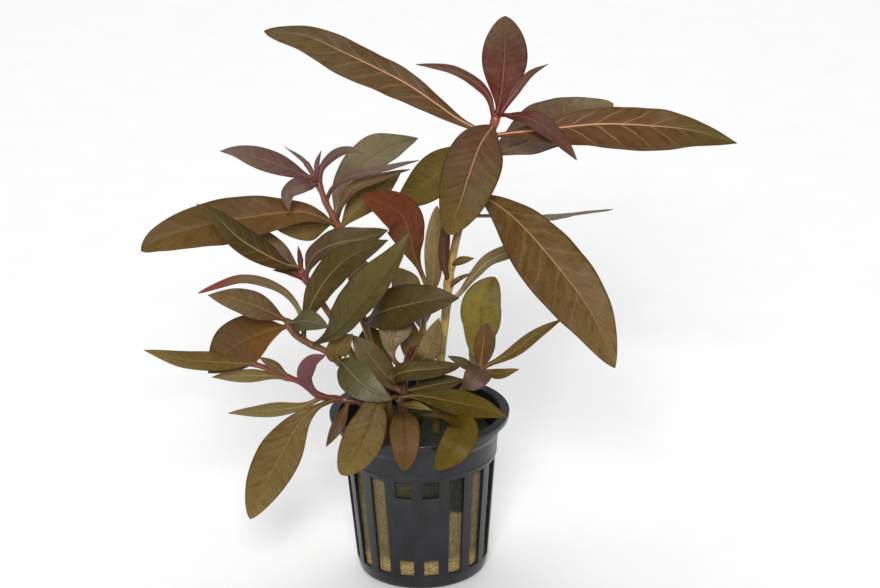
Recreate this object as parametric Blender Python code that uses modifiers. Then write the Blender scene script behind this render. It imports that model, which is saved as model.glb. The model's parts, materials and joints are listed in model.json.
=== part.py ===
"""Potted Ludwigia glandulosa: a bunch of red water plant stems in rock wool in a 50 mm net pot.

Metres, +Z up, the viewer looks along +Y. The origin is the centre of the pot's foot.
The plant's places come from a photograph: each is a sight point (across and down in
photo pixels, and how far in front of the pot's axis it lies, in millimetres).
"""

import math
from collections import namedtuple

import bmesh
import bpy
from mathutils import Matrix, Vector

MM = 0.001
GAP = 0.3 * MM

# Where the photograph was taken from.
PHOTO_MIDDLE = (440.0, 294.0)
POT_FOOT = (423.0, 562.0)
FOCAL_PIXELS = 3270.0
EYE_DISTANCE = 1.015
EYE_PITCH = math.radians(21.5)
EYE_ROLL = math.radians(-1.2)

# Net pot: a thin shell with 17 columns of slots round it, two of them shut by a panel.
POT_TOP = 51.5 * MM
RIM_RADIUS = 27.5 * MM
LIP_WIDTH = 3.2 * MM
LIP_DROP = 2.2 * MM
LIP_ROUND = 0.9 * MM
LIP_INNER_ROUND = 0.5 * MM
COLLAR_RADIUS = 24.6 * MM
COLLAR_FOOT = 43.6 * MM
COLLAR_FLARE = 1.1 * MM
COLLAR_TAPER = 0.3 * MM
COLLAR_STEP = 0.4 * MM
BODY_RADIUS = 23.5 * MM
FOOT_RADIUS = 18.4 * MM
FOOT_RISE_HEIGHT = 4.0 * MM
FOOT_RISE_RADIUS = 20.2 * MM
FOOT_ROUND = 1.0 * MM
INSIDE_ROUND = 1.3 * MM
WALL = 1.0 * MM
FLOOR = 1.4 * MM
SLOT_COLUMNS = 17
SLOT_PITCH = math.tau / SLOT_COLUMNS
SLOT_PHASE = math.radians(-3.0)
SLOT_WIDTH = 5.2 * MM
SLOT_FOOT = 5.0 * MM
SLOT_HEAD = 37.4 * MM
SLOT_DEPTH = 8.0 * MM
WINDOW_HEIGHT = 5.4 * MM
PANEL_COLUMNS = (-1, 0)
POT_STEPS = 40

# Rock wool: a tapered plug that fills the pot up to a little under the rim.
WOOL_TOP = 44.5 * MM
WOOL_TOP_RADIUS = 22.1 * MM
WOOL_EDGE = 1.1 * MM
WOOL_PLAY = 0.4 * MM
WOOL_FOOT_ROUND = 1.5 * MM
WOOL_STEPS = 24

# Leaves and stems.
LEAF_THICKNESS = 0.5 * MM
STALK_HALF = 0.75 * MM
TIP_HALF = 0.35 * MM
LEAF_STEPS = 7
BUD_STEPS = 6
GUTTER = 0.04
TOP_LEAF_START = 1.4 * MM
ALONG_TIP = 0.5
SMALLEST_TURN = 0.2
STEM_SIDES = 1
STEM_STEPS = 2
SEARCH_STEPS = 60
FOOT_RISE = 2.0 * MM

# How fast a blade widens from its stalk, and how fast it narrows to its tip:
# a smaller power is rounder.
FORMS = {
    "lance": (1.25, 0.9),
    "round": (1.25, 0.6),
    "oval": (0.8, 0.6),
    "stalked": (2.2, 0.7),
}

TO_VIEWER = (0.0, -0.93, 0.37)
RAISED = (0.0, -0.75, 0.65)
UPWARD = (0.0, -0.5, 0.87)
FLAT = (0.0, -0.25, 0.97)

Stem = namedtuple("Stem", "name foot path thick paint")
Leaf = namedtuple("Leaf", "name stem path wide peak form face paint")

STEMS = [
    Stem("stem_tall", (5, 0),
         [(441, 355, 0), (445, 320, 0), (449, 281, 0), (455, 245, -1), (463, 215, -1),
          (476, 175, -2), (489, 140, -2), (497, 114, -2)], (1.5, 1.0), "stem_yellow"),
    Stem("stem_upper_left", (-9, -4),
         [(385, 385, -4), (368, 335, -4), (352, 280, -3), (338, 228, -2), (327, 205, -2),
          (317, 180, -2)], (1.2, 0.9), "stem_red"),
    Stem("stem_mid_left", (-13, 2),
         [(365, 385, 2), (342, 335, 2), (320, 300, 3), (308, 283, 3), (299, 268, 3)],
         (1.2, 0.9), "stem_red"),
    Stem("stem_low_left", (-14, 9),
         [(352, 378, 10), (328, 353, 10), (308, 343, 10), (292, 331, 10), (287, 318, 10)],
         (1.2, 0.9), "stem_yellow"),
    Stem("stem_red_left", (-9, 15),
         [(366, 406, 14), (345, 400, 13), (320, 396, 14), (300, 382, 14), (280, 375, 14),
          (263, 367, 14), (250, 363, 14)], (1.2, 0.8), "stem_red"),
    Stem("stem_centre", (-3, 5), [(405, 398, 8), (404, 375, 8), (410, 352, 8)],
         (1.3, 1.0), "stem_red"),
    Stem("stem_rear", (0, -8), [(420, 395, -8), (422, 340, -8), (427, 284, -7)],
         (1.2, 0.9), "stem_yellow"),
    Stem("stem_short_right", (12, 2), [(456, 400, 1), (470, 382, 1), (482, 367, 2)],
         (1.2, 1.0), "stem_red"),
    Stem("stem_front", (-1, 13), [(404, 412, 16), (398, 396, 18)], (1.2, 1.0), "stem_red"),
]

LEAVES = [
    Leaf("leaf_top_upright", "stem_tall",
         [(497, 114, -3), (501, 95, -5), (504, 66, -8), (505, 40, -9), (505, 16, -10)],
         (6.7, 6.8), 0.58, "round", TO_VIEWER, "leaf_purple"),
    Leaf("leaf_top_droop", "stem_tall",
         [(500, 114, 0), (528, 118, 5), (553, 134, 10), (577, 160, 14)],
         (2.7, 2.7), 0.5, "lance", (0.5, -0.5, 0.7), "leaf_purple"),
    Leaf("leaf_right_long", "stem_tall",
         [(491, 139, 0), (529, 131, 1), (566, 127, 2), (600, 124, 3), (640, 125, 4),
          (690, 130, 5), (737, 143, 6)], (5.0, 7.7), 0.58, "lance", RAISED, "leaf_brown"),
    Leaf("leaf_right_back", "stem_tall",
         [(486, 156, -3), (526, 143, -12), (560, 123, -22), (613, 103, -35)],
         (8.4, 6.4), 0.5, "round", UPWARD, "leaf_olive"),
    Leaf("leaf_left_long", "stem_tall",
         [(490, 133, -3), (461, 121, -4), (431, 100, -5), (400, 80, -7), (341, 51, -9),
          (306, 36, -10), (264, 31, -11)], (6.7, 4.0), 0.6, "round", RAISED, "leaf_brown"),
    Leaf("leaf_hanging_front", "stem_tall",
         [(491, 128, 0), (480, 145, 6), (468, 178, 12), (461, 200, 15), (448, 235, 17)],
         (8.7, 8.2), 0.43, "oval", TO_VIEWER, "leaf_purple"),
    Leaf("leaf_behind_hanging", "stem_tall",
         [(485, 154, -3), (462, 157, -6), (440, 172, -9), (418, 190, -11), (394, 206, -13)],
         (6.2, 6.2), 0.5, "lance", RAISED, "leaf_olive"),
    Leaf("leaf_right_droop", "stem_tall",
         [(471, 190, 0), (512, 216, 10), (554, 262, 20), (592, 314, 27), (615, 368, 32)],
         (8.0, 10.7), 0.52, "round", RAISED, "leaf_brown"),
    Leaf("leaf_right_thin", "stem_tall",
         [(463, 214, -2), (500, 216, -12), (542, 219, -26), (576, 214, -38),
          (613, 209, -48)], (0.8, 0.8), 0.55, "lance", (0.0, 0.2, 0.98), "leaf_green"),
    Leaf("leaf_rear_right", "stem_tall",
         [(447, 300, -2), (460, 293, -5), (474, 275, -10), (492, 259, -16), (525, 248, -24),
          (575, 246, -36)], (2.3, 2.3), 0.6, "lance", UPWARD, "leaf_olive"),
    Leaf("leaf_short_upright", "stem_short_right",
         [(480, 364, 1), (477, 348, -2), (481, 325, -4), (482, 303, -6), (495, 277, -9)],
         (6.2, 6.2), 0.6, "round", TO_VIEWER, "leaf_gold"),
    Leaf("leaf_short_right", "stem_short_right",
         [(482, 367, 3), (510, 354, 2), (536, 335, 3), (562, 319, 5)],
         (2.0, 2.0), 0.5, "lance", RAISED, "leaf_olive"),
    Leaf("leaf_short_pink", "stem_short_right",
         [(481, 367, 3), (478, 374, 9), (471, 382, 11), (463, 388, 11)],
         (4.0, 4.0), 0.5, "oval", TO_VIEWER, "leaf_red"),
    Leaf("leaf_red_centre", "stem_rear",
         [(427, 284, -7), (419, 267, -5), (413, 251, -4), (410, 236, -2), (402, 216, 0),
          (385, 205, 2), (362, 197, 4)], (6.6, 5.8), 0.66, "stalked", RAISED, "leaf_red"),
    Leaf("leaf_pale_upright", "stem_rear",
         [(426, 300, -6), (432, 280, -3), (432, 250, -2), (433, 205, -3)],
         (2.2, 2.2), 0.6, "oval", TO_VIEWER, "leaf_tan"),
    Leaf("leaf_rear_olive", "stem_rear",
         [(423, 312, -7), (412, 298, -4), (404, 284, -2), (396, 267, 0)],
         (4.5, 4.5), 0.6, "lance", RAISED, "leaf_olive"),
    Leaf("leaf_back_olive", "stem_upper_left",
         [(333, 214, -4), (345, 190, -14), (364, 166, -22), (388, 149, -30),
          (418, 138, -37)], (6.6, 4.6), 0.65, "lance", UPWARD, "leaf_green"),
    Leaf("leaf_purple_arched", "stem_upper_left",
         [(325, 203, -2), (333, 188, 1), (350, 177, 3), (383, 169, 4), (419, 160, 3)],
         (1.2, 1.2), 0.5, "lance", UPWARD, "leaf_purple"),
    Leaf("leaf_purple_lower", "stem_upper_left",
         [(335, 220, -2), (343, 202, 1), (355, 187, 1), (378, 178, 0), (410, 169, -2)],
         (1.55, 1.55), 0.5, "lance", UPWARD, "leaf_purple"),
    Leaf("leaf_yellow_green", "stem_upper_left",
         [(338, 229, -3), (357, 208, -6), (378, 189, -9), (401, 172, -12)],
         (4.2, 4.2), 0.5, "lance", RAISED, "leaf_green"),
    Leaf("leaf_arched_glossy", "stem_mid_left",
         [(306, 279, 4), (309, 264, 6), (318, 252, 7), (337, 243, 8), (362, 238, 7),
          (388, 230, 6)], (3.9, 3.9), 0.6, "lance", UPWARD, "leaf_green"),
    Leaf("leaf_dark", "stem_low_left",
         [(302, 341, 11), (305, 321, 9.5), (314, 299, 12), (329, 276, 15), (350, 257, 17),
          (388, 240, 18)], (4.6, 4.6), 0.6, "lance", RAISED, "leaf_green"),
    Leaf("leaf_big_centre", "stem_low_left",
         [(311, 351, 11), (334, 334, 18), (357, 311, 23), (380, 283, 26), (397, 258, 26),
          (410, 232, 24)], (7.6, 3.2), 0.5, "lance", RAISED, "leaf_green"),
    Leaf("leaf_centre_right", "stem_upper_left",
         [(364, 322, -3), (376, 314, 6), (398, 307, 11), (431, 300, 13), (459, 298, 13)],
         (6.0, 6.0), 0.55, "lance", RAISED, "leaf_olive"),
    Leaf("leaf_wet_left", "stem_centre",
         [(405, 370, 9), (396, 358, 11), (394, 345, 10), (397, 328, 8), (401, 312, 6)],
         (5.2, 5.2), 0.82, "round", TO_VIEWER, "leaf_tan"),
    Leaf("leaf_wet_right", "stem_centre",
         [(406, 370, 9), (424, 358, 13), (432, 340, 13), (439, 318, 12)],
         (3.2, 3.2), 0.6, "lance", TO_VIEWER, "leaf_tan"),
    Leaf("leaf_grey_green", "stem_low_left",
         [(340, 364, 11), (345, 366, 15), (361, 383, 21), (377, 393, 23), (392, 400, 24)],
         (5.2, 5.2), 0.45, "lance", TO_VIEWER, "leaf_green"),
    Leaf("leaf_olive_brown", "stem_centre",
         [(403, 385, 9), (395, 376, 13), (409, 371, 16), (434, 369, 16), (460, 366, 14)],
         (3.0, 3.0), 0.5, "oval", RAISED, "leaf_brown"),
    Leaf("leaf_grey_olive", "stem_centre",
         [(405, 392, 9), (425, 387, 10), (445, 383, 10), (464, 380, 9)],
         (2.7, 2.7), 0.55, "lance", RAISED, "leaf_green"),
    Leaf("leaf_yellow_olive", "stem_front",
         [(400, 398, 18), (420, 396, 18), (454, 402, 16), (485, 409, 13), (507, 417, 11)],
         (3.8, 3.8), 0.55, "lance", RAISED, "leaf_olive"),
    Leaf("leaf_over_rim_left", "stem_front",
         [(397, 399, 19), (378, 403, 22), (369, 425, 25), (358, 449, 27), (341, 475, 27)],
         (6.0, 6.0), 0.58, "round", TO_VIEWER, "leaf_gold"),
    Leaf("leaf_over_rim_middle", "stem_front",
         [(400, 410, 16), (404, 421, 24), (405, 440, 29), (405, 456, 31), (404, 471, 31)],
         (4.5, 4.5), 0.5, "oval", TO_VIEWER, "leaf_brown"),
    Leaf("leaf_over_rim_right", "stem_front",
         [(404, 412, 16), (420, 419, 12), (445, 423, 13), (462, 430, 24), (455, 446, 30),
          (436, 470, 31)], (4.9, 4.9), 0.74, "stalked", TO_VIEWER, "leaf_gold"),
    Leaf("leaf_low_left_hanging", "stem_red_left",
         [(334, 399, 14), (316, 408, 19), (299, 424, 22), (283, 451, 24), (264, 487, 26),
          (250, 519, 26)], (6.2, 7.0), 0.56, "stalked", TO_VIEWER, "leaf_gold"),
    Leaf("leaf_low_left_flat", "stem_red_left",
         [(322, 398, 14), (300, 407, 15), (264, 411, 16), (228, 413, 17)],
         (2.0, 2.0), 0.5, "lance", UPWARD, "leaf_olive"),
    Leaf("leaf_left_reaching", "stem_red_left",
         [(252, 363, 14), (215, 362, 19), (180, 359, 22), (144, 350, 24)],
         (2.9, 2.9), 0.45, "lance", RAISED, "leaf_gold"),
    Leaf("leaf_left_tan", "stem_red_left",
         [(284, 377, 13), (262, 376, 14), (238, 376, 14), (212, 377, 14)],
         (2.0, 2.0), 0.5, "lance", UPWARD, "leaf_tan"),
    Leaf("leaf_upper_left_purple", "stem_upper_left",
         [(316, 181, -2), (287, 168, 4), (258, 158, 7), (238, 152, 8), (220, 151, 9)],
         (3.3, 3.3), 0.55, "lance", RAISED, "leaf_purple"),
    Leaf("leaf_upper_left_folded", "stem_upper_left",
         [(318, 185, -1), (302, 185, 5), (288, 194, 9), (289, 211, 10)],
         (2.5, 2.5), 0.5, "lance", (-0.3, -0.8, 0.5), "leaf_purple"),
    Leaf("leaf_upper_left_long", "stem_upper_left",
         [(336, 226, -2), (320, 217, 2), (297, 212, 2), (250, 217, 3), (197, 227, 5),
          (160, 239, 7), (141, 251, 8)], (6.9, 6.5), 0.58, "round", RAISED, "leaf_gold"),
    Leaf("leaf_mid_left_green", "stem_mid_left",
         [(300, 266, 5), (276, 260, 12), (240, 239, 16), (216, 216, 19), (197, 204, 20)],
         (3.8, 3.8), 0.5, "lance", RAISED, "leaf_green"),
    Leaf("leaf_mid_left_brown", "stem_mid_left",
         [(301, 270, 2), (283, 256, -2), (265, 240, -4), (246, 222, -6)],
         (3.1, 3.1), 0.5, "lance", RAISED, "leaf_brown"),
    Leaf("leaf_low_left_brown", "stem_low_left",
         [(288, 321, 11), (265, 310, 13), (240, 301, 15), (208, 295, 17)],
         (4.0, 4.0), 0.5, "lance", RAISED, "leaf_brown"),
    Leaf("leaf_low_left_broad", "stem_low_left",
         [(290, 327, 11), (262, 333, 8), (232, 348, 5), (208, 373, 3)],
         (7.7, 7.1), 0.5, "lance", RAISED, "leaf_gold"),
    Leaf("leaf_low_left_arched", "stem_low_left",
         [(297, 334, 9), (300, 313, 8), (281, 290, 8), (244, 279, 8), (198, 293, 8)],
         (1.4, 1.4), 0.6, "round", UPWARD, "leaf_olive"),
    Leaf("leaf_rear_high", "stem_tall",
         [(468, 198, -3), (471, 186, -12), (473, 168, -24), (474, 152, -36)],
         (5.0, 5.0), 0.5, "lance", FLAT, "leaf_olive"),
    Leaf("leaf_rear_middle", "stem_rear",
         [(423, 330, -9), (420, 312, -20), (414, 291, -34), (410, 281, -44)],
         (4.5, 4.5), 0.5, "lance", FLAT, "leaf_brown"),
    Leaf("leaf_rear_low", "stem_rear",
         [(420, 372, -8), (413, 350, -4), (409, 330, -3), (409, 312, -3)],
         (3.4, 3.4), 0.55, "lance", TO_VIEWER, "leaf_gold"),
    Leaf("leaf_rear_short", "stem_short_right",
         [(472, 380, 0), (480, 358, -14), (484, 332, -28), (486, 312, -42)],
         (4.0, 4.0), 0.5, "lance", FLAT, "leaf_olive"),
]

# Young and small leaves, grown into the stem that bears them.
BUDS = [
    Leaf("top_left_narrow", "stem_tall",
         [(496, 120, -2), (488, 96, -1), (473, 81, -2), (452, 70, -3), (430, 66, -4),
          (416, 64, -5)], (1.5, 1.5), 0.5, "lance", UPWARD, "leaf_purple"),
    Leaf("top_right_narrow", "stem_tall",
         [(496, 120, -2), (512, 96, -2), (529, 75, -5), (548, 64, -8)],
         (1.3, 1.3), 0.5, "lance", TO_VIEWER, "leaf_purple"),
    Leaf("node_olive", "stem_tall",
         [(452, 262, 0), (460, 261, 3), (474, 258, 4)],
         (1.2, 1.2), 0.5, "lance", RAISED, "leaf_olive"),
    Leaf("node_red", "stem_tall",
         [(449, 284, 0), (459, 279, 3), (471, 273, 5)],
         (0.7, 0.7), 0.5, "lance", RAISED, "leaf_red"),
    Leaf("node_brown", "stem_tall",
         [(446, 280, 0), (442, 262, 3), (443, 236, 4), (448, 206, 3)],
         (1.3, 1.3), 0.5, "lance", TO_VIEWER, "leaf_brown"),
    Leaf("upper_left_thin", "stem_upper_left",
         [(318, 184, -2), (305, 162, -7), (285, 147, -9)],
         (0.7, 0.7), 0.5, "lance", TO_VIEWER, "leaf_purple"),
    Leaf("upper_left_tiny", "stem_upper_left",
         [(317, 182, -2), (317, 164, -1), (321, 151, 0)],
         (0.75, 0.75), 0.5, "lance", TO_VIEWER, "leaf_purple"),
    Leaf("upper_left_right", "stem_upper_left",
         [(318, 183, -2), (322, 168, 0), (334, 155, 2), (349, 150, 3), (364, 153, 4)],
         (1.4, 1.4), 0.6, "lance", RAISED, "leaf_purple"),
    Leaf("upper_left_under", "stem_upper_left",
         [(333, 221, -4), (318, 224, -5), (300, 226, -6), (272, 226, -6)],
         (4.8, 1.5), 0.42, "lance", RAISED, "leaf_gold"),
    Leaf("mid_left_tip", "stem_mid_left",
         [(300, 270, 2), (300, 257, 0), (298, 246, -1)],
         (0.8, 0.8), 0.5, "lance", TO_VIEWER, "leaf_red"),
    Leaf("mid_left_low", "stem_mid_left",
         [(305, 279, 3), (289, 271, 4), (273, 270, 4)],
         (1.2, 1.2), 0.5, "lance", RAISED, "leaf_red"),
    Leaf("low_left_right", "stem_low_left",
         [(289, 324, 10), (307, 321, 17), (329, 327, 20)],
         (3.2, 3.2), 0.5, "lance", RAISED, "leaf_green"),
    Leaf("low_left_gold", "stem_low_left",
         [(338, 364, 11), (336, 354, 13), (344, 343, 14), (353, 334, 14)],
         (2.6, 2.6), 0.5, "lance", TO_VIEWER, "leaf_gold"),
    Leaf("red_left_small", "stem_red_left",
         [(288, 378, 14), (274, 366, 16), (259, 357, 17)],
         (1.5, 1.5), 0.5, "lance", RAISED, "leaf_brown"),
    Leaf("red_left_curl", "stem_red_left",
         [(316, 394, 14), (305, 378, 18), (311, 362, 20), (326, 355, 20)],
         (2.5, 2.5), 0.6, "lance", TO_VIEWER, "leaf_purple"),
    Leaf("red_left_under", "stem_red_left",
         [(349, 402, 13), (338, 425, 20), (326, 447, 22)],
         (1.9, 1.9), 0.5, "lance", TO_VIEWER, "leaf_brown"),
    Leaf("centre_left", "stem_centre",
         [(404, 395, 8), (388, 378, 9), (368, 354, 10), (352, 335, 9)],
         (3.3, 3.3), 0.5, "lance", RAISED, "leaf_olive"),
    Leaf("centre_bud", "stem_centre",
         [(409, 358, 8), (412, 350, 11), (418, 345, 12)],
         (1.0, 1.0), 0.5, "lance", TO_VIEWER, "leaf_red"),
    Leaf("short_front", "stem_short_right",
         [(481, 368, 2), (482, 346, 5), (485, 324, 5)],
         (2.7, 2.7), 0.55, "lance", TO_VIEWER, "leaf_red"),
    Leaf("short_low", "stem_short_right",
         [(481, 370, 2), (499, 374, 8), (519, 369, 11)],
         (1.5, 1.5), 0.5, "lance", RAISED, "leaf_olive"),
    Leaf("short_left", "stem_short_right",
         [(478, 371, 2), (463, 363, 6), (448, 356, 8)],
         (1.5, 1.5), 0.5, "lance", RAISED, "leaf_green"),
    Leaf("front_tip", "stem_front",
         [(401, 405, 17), (414, 405, 24), (432, 410, 27)],
         (1.2, 1.2), 0.5, "lance", RAISED, "leaf_tan"),
    Leaf("rear_left", "stem_upper_left",
         [(356, 296, -3), (360, 278, -16), (363, 258, -32)],
         (4.0, 4.0), 0.5, "lance", FLAT, "leaf_brown"),
    Leaf("rear_left_low", "stem_upper_left",
         [(385, 386, -4), (374, 362, -8), (364, 336, -9)],
         (4.2, 4.2), 0.5, "lance", TO_VIEWER, "leaf_gold"),
]

PAINTS = {
    "pot_plastic": ((0.035, 0.038, 0.045), 0.22),
    "wool": ((0.20, 0.16, 0.065), 0.9),
    "stem_yellow": ((0.40, 0.28, 0.07), 0.45),
    "stem_red": ((0.30, 0.07, 0.035), 0.45),
    "leaf_purple": ((0.12, 0.055, 0.045), 0.45),
    "leaf_brown": ((0.15, 0.07, 0.03), 0.45),
    "leaf_olive": ((0.13, 0.09, 0.025), 0.45),
    "leaf_green": ((0.10, 0.085, 0.035), 0.4),
    "leaf_gold": ((0.18, 0.09, 0.015), 0.45),
    "leaf_red": ((0.20, 0.05, 0.025), 0.45),
    "leaf_tan": ((0.25, 0.17, 0.09), 0.4),
}


def viewer_axes():
    """The directions right, up and ahead of the photograph's viewer."""
    ahead = Vector((0.0, math.cos(EYE_PITCH), -math.sin(EYE_PITCH)))
    level = Vector((1.0, 0.0, 0.0))
    above = level.cross(ahead)
    right = level * math.cos(EYE_ROLL) + above * math.sin(EYE_ROLL)
    up = above * math.cos(EYE_ROLL) - level * math.sin(EYE_ROLL)
    return right, up, ahead


def ray(across, down):
    """The direction in which the viewer sees a photo pixel."""
    right, up, ahead = viewer_axes()
    aside = (across - PHOTO_MIDDLE[0]) / FOCAL_PIXELS
    above = (PHOTO_MIDDLE[1] - down) / FOCAL_PIXELS
    return ahead + right * aside + up * above


EYE = -EYE_DISTANCE * ray(*POT_FOOT)


def sighted(across, down, forward):
    """The point seen at a photo pixel, so many millimetres in front of the pot's axis."""
    direction = ray(across, down)
    reach = (-forward * MM - EYE.y) / direction.y
    return EYE + direction * reach


def smooth_path(points, steps):
    """Points evenly spread along a smooth curve through the given ones."""
    ends = [points[0] * 2 - points[1], *points, points[-1] * 2 - points[-2]]
    fine = []
    per_span = 12
    for i in range(len(points) - 1):
        a, b, c, d = ends[i:i + 4]
        for k in range(per_span):
            t = k / per_span
            fine.append(0.5 * (2 * b + (c - a) * t + (2 * a - 5 * b + 4 * c - d) * t * t
                               + (3 * b - a - 3 * c + d) * t ** 3))
    fine.append(points[-1])
    return evenly_spaced(fine, steps)


def evenly_spaced(fine, steps):
    """steps + 1 points at equal distances along a polyline."""
    lengths = [0.0]
    for a, b in zip(fine, fine[1:]):
        lengths.append(lengths[-1] + (b - a).length)
    spread = []
    i = 0
    for k in range(steps + 1):
        want = lengths[-1] * k / steps
        while i < len(fine) - 2 and lengths[i + 1] < want:
            i += 1
        share = (want - lengths[i]) / (lengths[i + 1] - lengths[i])
        spread.append(fine[i].lerp(fine[i + 1], share))
    return spread


def half_width(leaf, share, widest):
    """Half the blade's width at a share of its length, from a narrow stalk to the tip."""
    rise, fall = FORMS[leaf.form]
    if share < leaf.peak:
        swell = math.sin(math.pi / 2 * share / leaf.peak) ** rise
        return max(STALK_HALF, widest * swell)
    swell = math.cos(math.pi / 2 * (share - leaf.peak) / (1 - leaf.peak)) ** fall
    return max(TIP_HALF, widest * swell)


def blade_frame(path, i, face):
    """The blade's sideways and outward directions at one point of its path."""
    ahead = (path[min(i + 1, len(path) - 1)] - path[max(i - 1, 0)]).normalized()
    outward = Vector(face)
    outward = (outward - ahead * outward.dot(ahead)).normalized()
    return ahead.cross(outward), outward


def seen_share(path, face):
    """How much of the blade's width shows to the viewer, from 0 edge-on to 1."""
    i = len(path) // 2
    side, outward = blade_frame(path, i, face)
    towards = (EYE - path[i]).normalized()
    ahead = outward.cross(side)
    plain = (towards - ahead * towards.dot(ahead)).normalized()
    return max(SMALLEST_TURN, abs(outward.dot(plain)))


def blade_points(leaf, path):
    """Rows of edge, midrib and edge points, the edges lifted a little like a gutter."""
    shown = seen_share(path, leaf.face)
    widest = [half * MM / shown for half in leaf.wide]
    rows = []
    for i, middle in enumerate(path):
        side, outward = blade_frame(path, i, leaf.face)
        share = i / (len(path) - 1)
        left, right = [half_width(leaf, share, half) for half in widest]
        lift = outward * (left + right) * GUTTER
        rows.append((middle - side * left + lift, middle, middle + side * right + lift))
    return rows


def new_object(name, mesh, paint):
    """A mesh object in the plant's collection with its own colour."""
    thing = bpy.data.objects.new(name, mesh)
    PLANT.objects.link(thing)
    mesh.materials.append(material(paint))
    return thing


def material(paint):
    """The material of that name, made at its first use."""
    if paint in bpy.data.materials:
        return bpy.data.materials[paint]
    colour, rough = PAINTS[paint]
    made = bpy.data.materials.new(paint)
    made.use_nodes = True
    shader = made.node_tree.nodes["Principled BSDF"]
    shader.inputs["Base Color"].default_value = (*colour, 1.0)
    shader.inputs["Roughness"].default_value = rough
    return made


def leaf_object(leaf, places, steps):
    """A leaf as a thin solid: a grid bent to the blade and given its thickness."""
    rows = blade_points(leaf, smooth_path(places, steps))
    mesh = bpy.data.meshes.new(leaf.name)
    grid = bmesh.new()
    bmesh.ops.create_grid(grid, x_segments=steps, y_segments=2, size=1.0)
    for vertex in grid.verts:
        along = round((vertex.co.x + 1) / 2 * steps)
        across = round(vertex.co.y + 1)
        vertex.co = rows[along][across]
    grid.to_mesh(mesh)
    grid.free()
    thing = new_object(leaf.name, mesh, leaf.paint)
    solid = thing.modifiers.new("thickness", "SOLIDIFY")
    solid.thickness = LEAF_THICKNESS
    solid.offset = 0.0
    solid.use_even_offset = False
    return thing


def stem_points(stem):
    """The stem's centre line, from the wool up."""
    foot = Vector((stem.foot[0] * MM, -stem.foot[1] * MM, WOOL_TOP + GAP))
    upright = foot + Vector((0.0, 0.0, FOOT_RISE))
    return [foot, upright] + [sighted(*place) for place in stem.path]


def stem_radius(stem, share):
    """The stem's radius at a share of its length."""
    low, high = stem.thick
    return (low + (high - low) * share) * MM


def stem_object(stem):
    """A stem as a tapered tube along a curve, with closed ends."""
    steps = STEM_STEPS * len(stem.path)
    path = smooth_path(stem_points(stem), steps)
    curve = bpy.data.curves.new(stem.name, "CURVE")
    curve.dimensions = "3D"
    curve.bevel_depth = 1.0
    curve.bevel_resolution = STEM_SIDES
    curve.use_fill_caps = True
    line = curve.splines.new("POLY")
    line.points.add(len(path) - 1)
    for i, (point, place) in enumerate(zip(line.points, path)):
        point.co = (*place, 1.0)
        point.radius = stem_radius(stem, i / steps)
    tube = bpy.data.objects.new(stem.name + "_curve", curve)
    CUTTERS.objects.link(tube)
    bpy.context.view_layer.update()
    seen = tube.evaluated_get(bpy.context.evaluated_depsgraph_get())
    mesh = bpy.data.meshes.new_from_object(seen)
    bpy.data.objects.remove(tube)
    welded(mesh)
    thing = new_object(stem.name, mesh, stem.paint)
    shade_smooth(thing)
    return thing


def welded(mesh):
    """Joins doubled vertices and faces the mesh outward."""
    work = bmesh.new()
    work.from_mesh(mesh)
    bmesh.ops.remove_doubles(work, verts=work.verts, dist=0.01 * MM)
    bmesh.ops.recalc_face_normals(work, faces=work.faces)
    work.to_mesh(mesh)
    work.free()


def shade_smooth(thing):
    """Smooth shading on every face."""
    for face in thing.data.polygons:
        face.use_smooth = True


def nearest_on_stem(stem, place):
    """The point of the stem's centre line nearest to a place, its radius and direction."""
    path = smooth_path(stem_points(stem), SEARCH_STEPS)
    i = min(range(SEARCH_STEPS + 1), key=lambda k: (path[k] - place).length)
    ahead = path[min(i + 1, SEARCH_STEPS)] - path[max(i - 1, 0)]
    return path[i], stem_radius(stem, i / SEARCH_STEPS), ahead.normalized()


def separate_leaf(leaf, stem):
    """A leaf of its own: it starts just off the skin of its stem."""
    places = [sighted(*p) for p in leaf.path]
    axis, radius, ahead = nearest_on_stem(stem, places[0])
    toward = (places[1] - axis).normalized()
    top = stem_points(stem)[-1]
    if (top - axis).length < radius and toward.dot(ahead) > ALONG_TIP:
        places[0] = top + toward * TOP_LEAF_START
    else:
        outward = (toward - ahead * toward.dot(ahead)).normalized()
        places[0] = axis + outward * (radius + GAP + LEAF_THICKNESS / 2)
    return leaf_object(leaf, places, LEAF_STEPS)


def grown_bud(leaf, stem, bearer):
    """A small leaf that starts inside its stem and is joined to it."""
    places = [sighted(*p) for p in leaf.path]
    places[0] = nearest_on_stem(stem, places[0])[0]
    bud = leaf_object(leaf, places, BUD_STEPS)
    PLANT.objects.unlink(bud)
    CUTTERS.objects.link(bud)
    bud.hide_render = True
    bud.display_type = "WIRE"
    combine(bearer, bud, "UNION")


def combine(thing, other, operation):
    """An exact Boolean between two closed solids."""
    step = thing.modifiers.new(other.name, "BOOLEAN")
    step.operation = operation
    step.solver = "EXACT"
    step.use_self = operation == "UNION"
    step.object = other


def turned(name, profile, paint, steps):
    """A turned solid: a closed profile of (radius, height) spun about Z."""
    mesh = bpy.data.meshes.new(name)
    work = bmesh.new()
    ring = [work.verts.new((radius, 0.0, height)) for radius, height in profile]
    for a, b in zip(ring, ring[1:]):
        work.edges.new((a, b))
    work.to_mesh(mesh)
    work.free()
    thing = new_object(name, mesh, paint)
    spin = thing.modifiers.new("spin", "SCREW")
    spin.angle = math.tau
    spin.steps = steps
    spin.render_steps = steps
    spin.use_merge_vertices = True
    spin.merge_threshold = 0.05 * MM
    spin.use_normal_calculate = True
    spin.use_smooth_shade = False
    return thing


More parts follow.
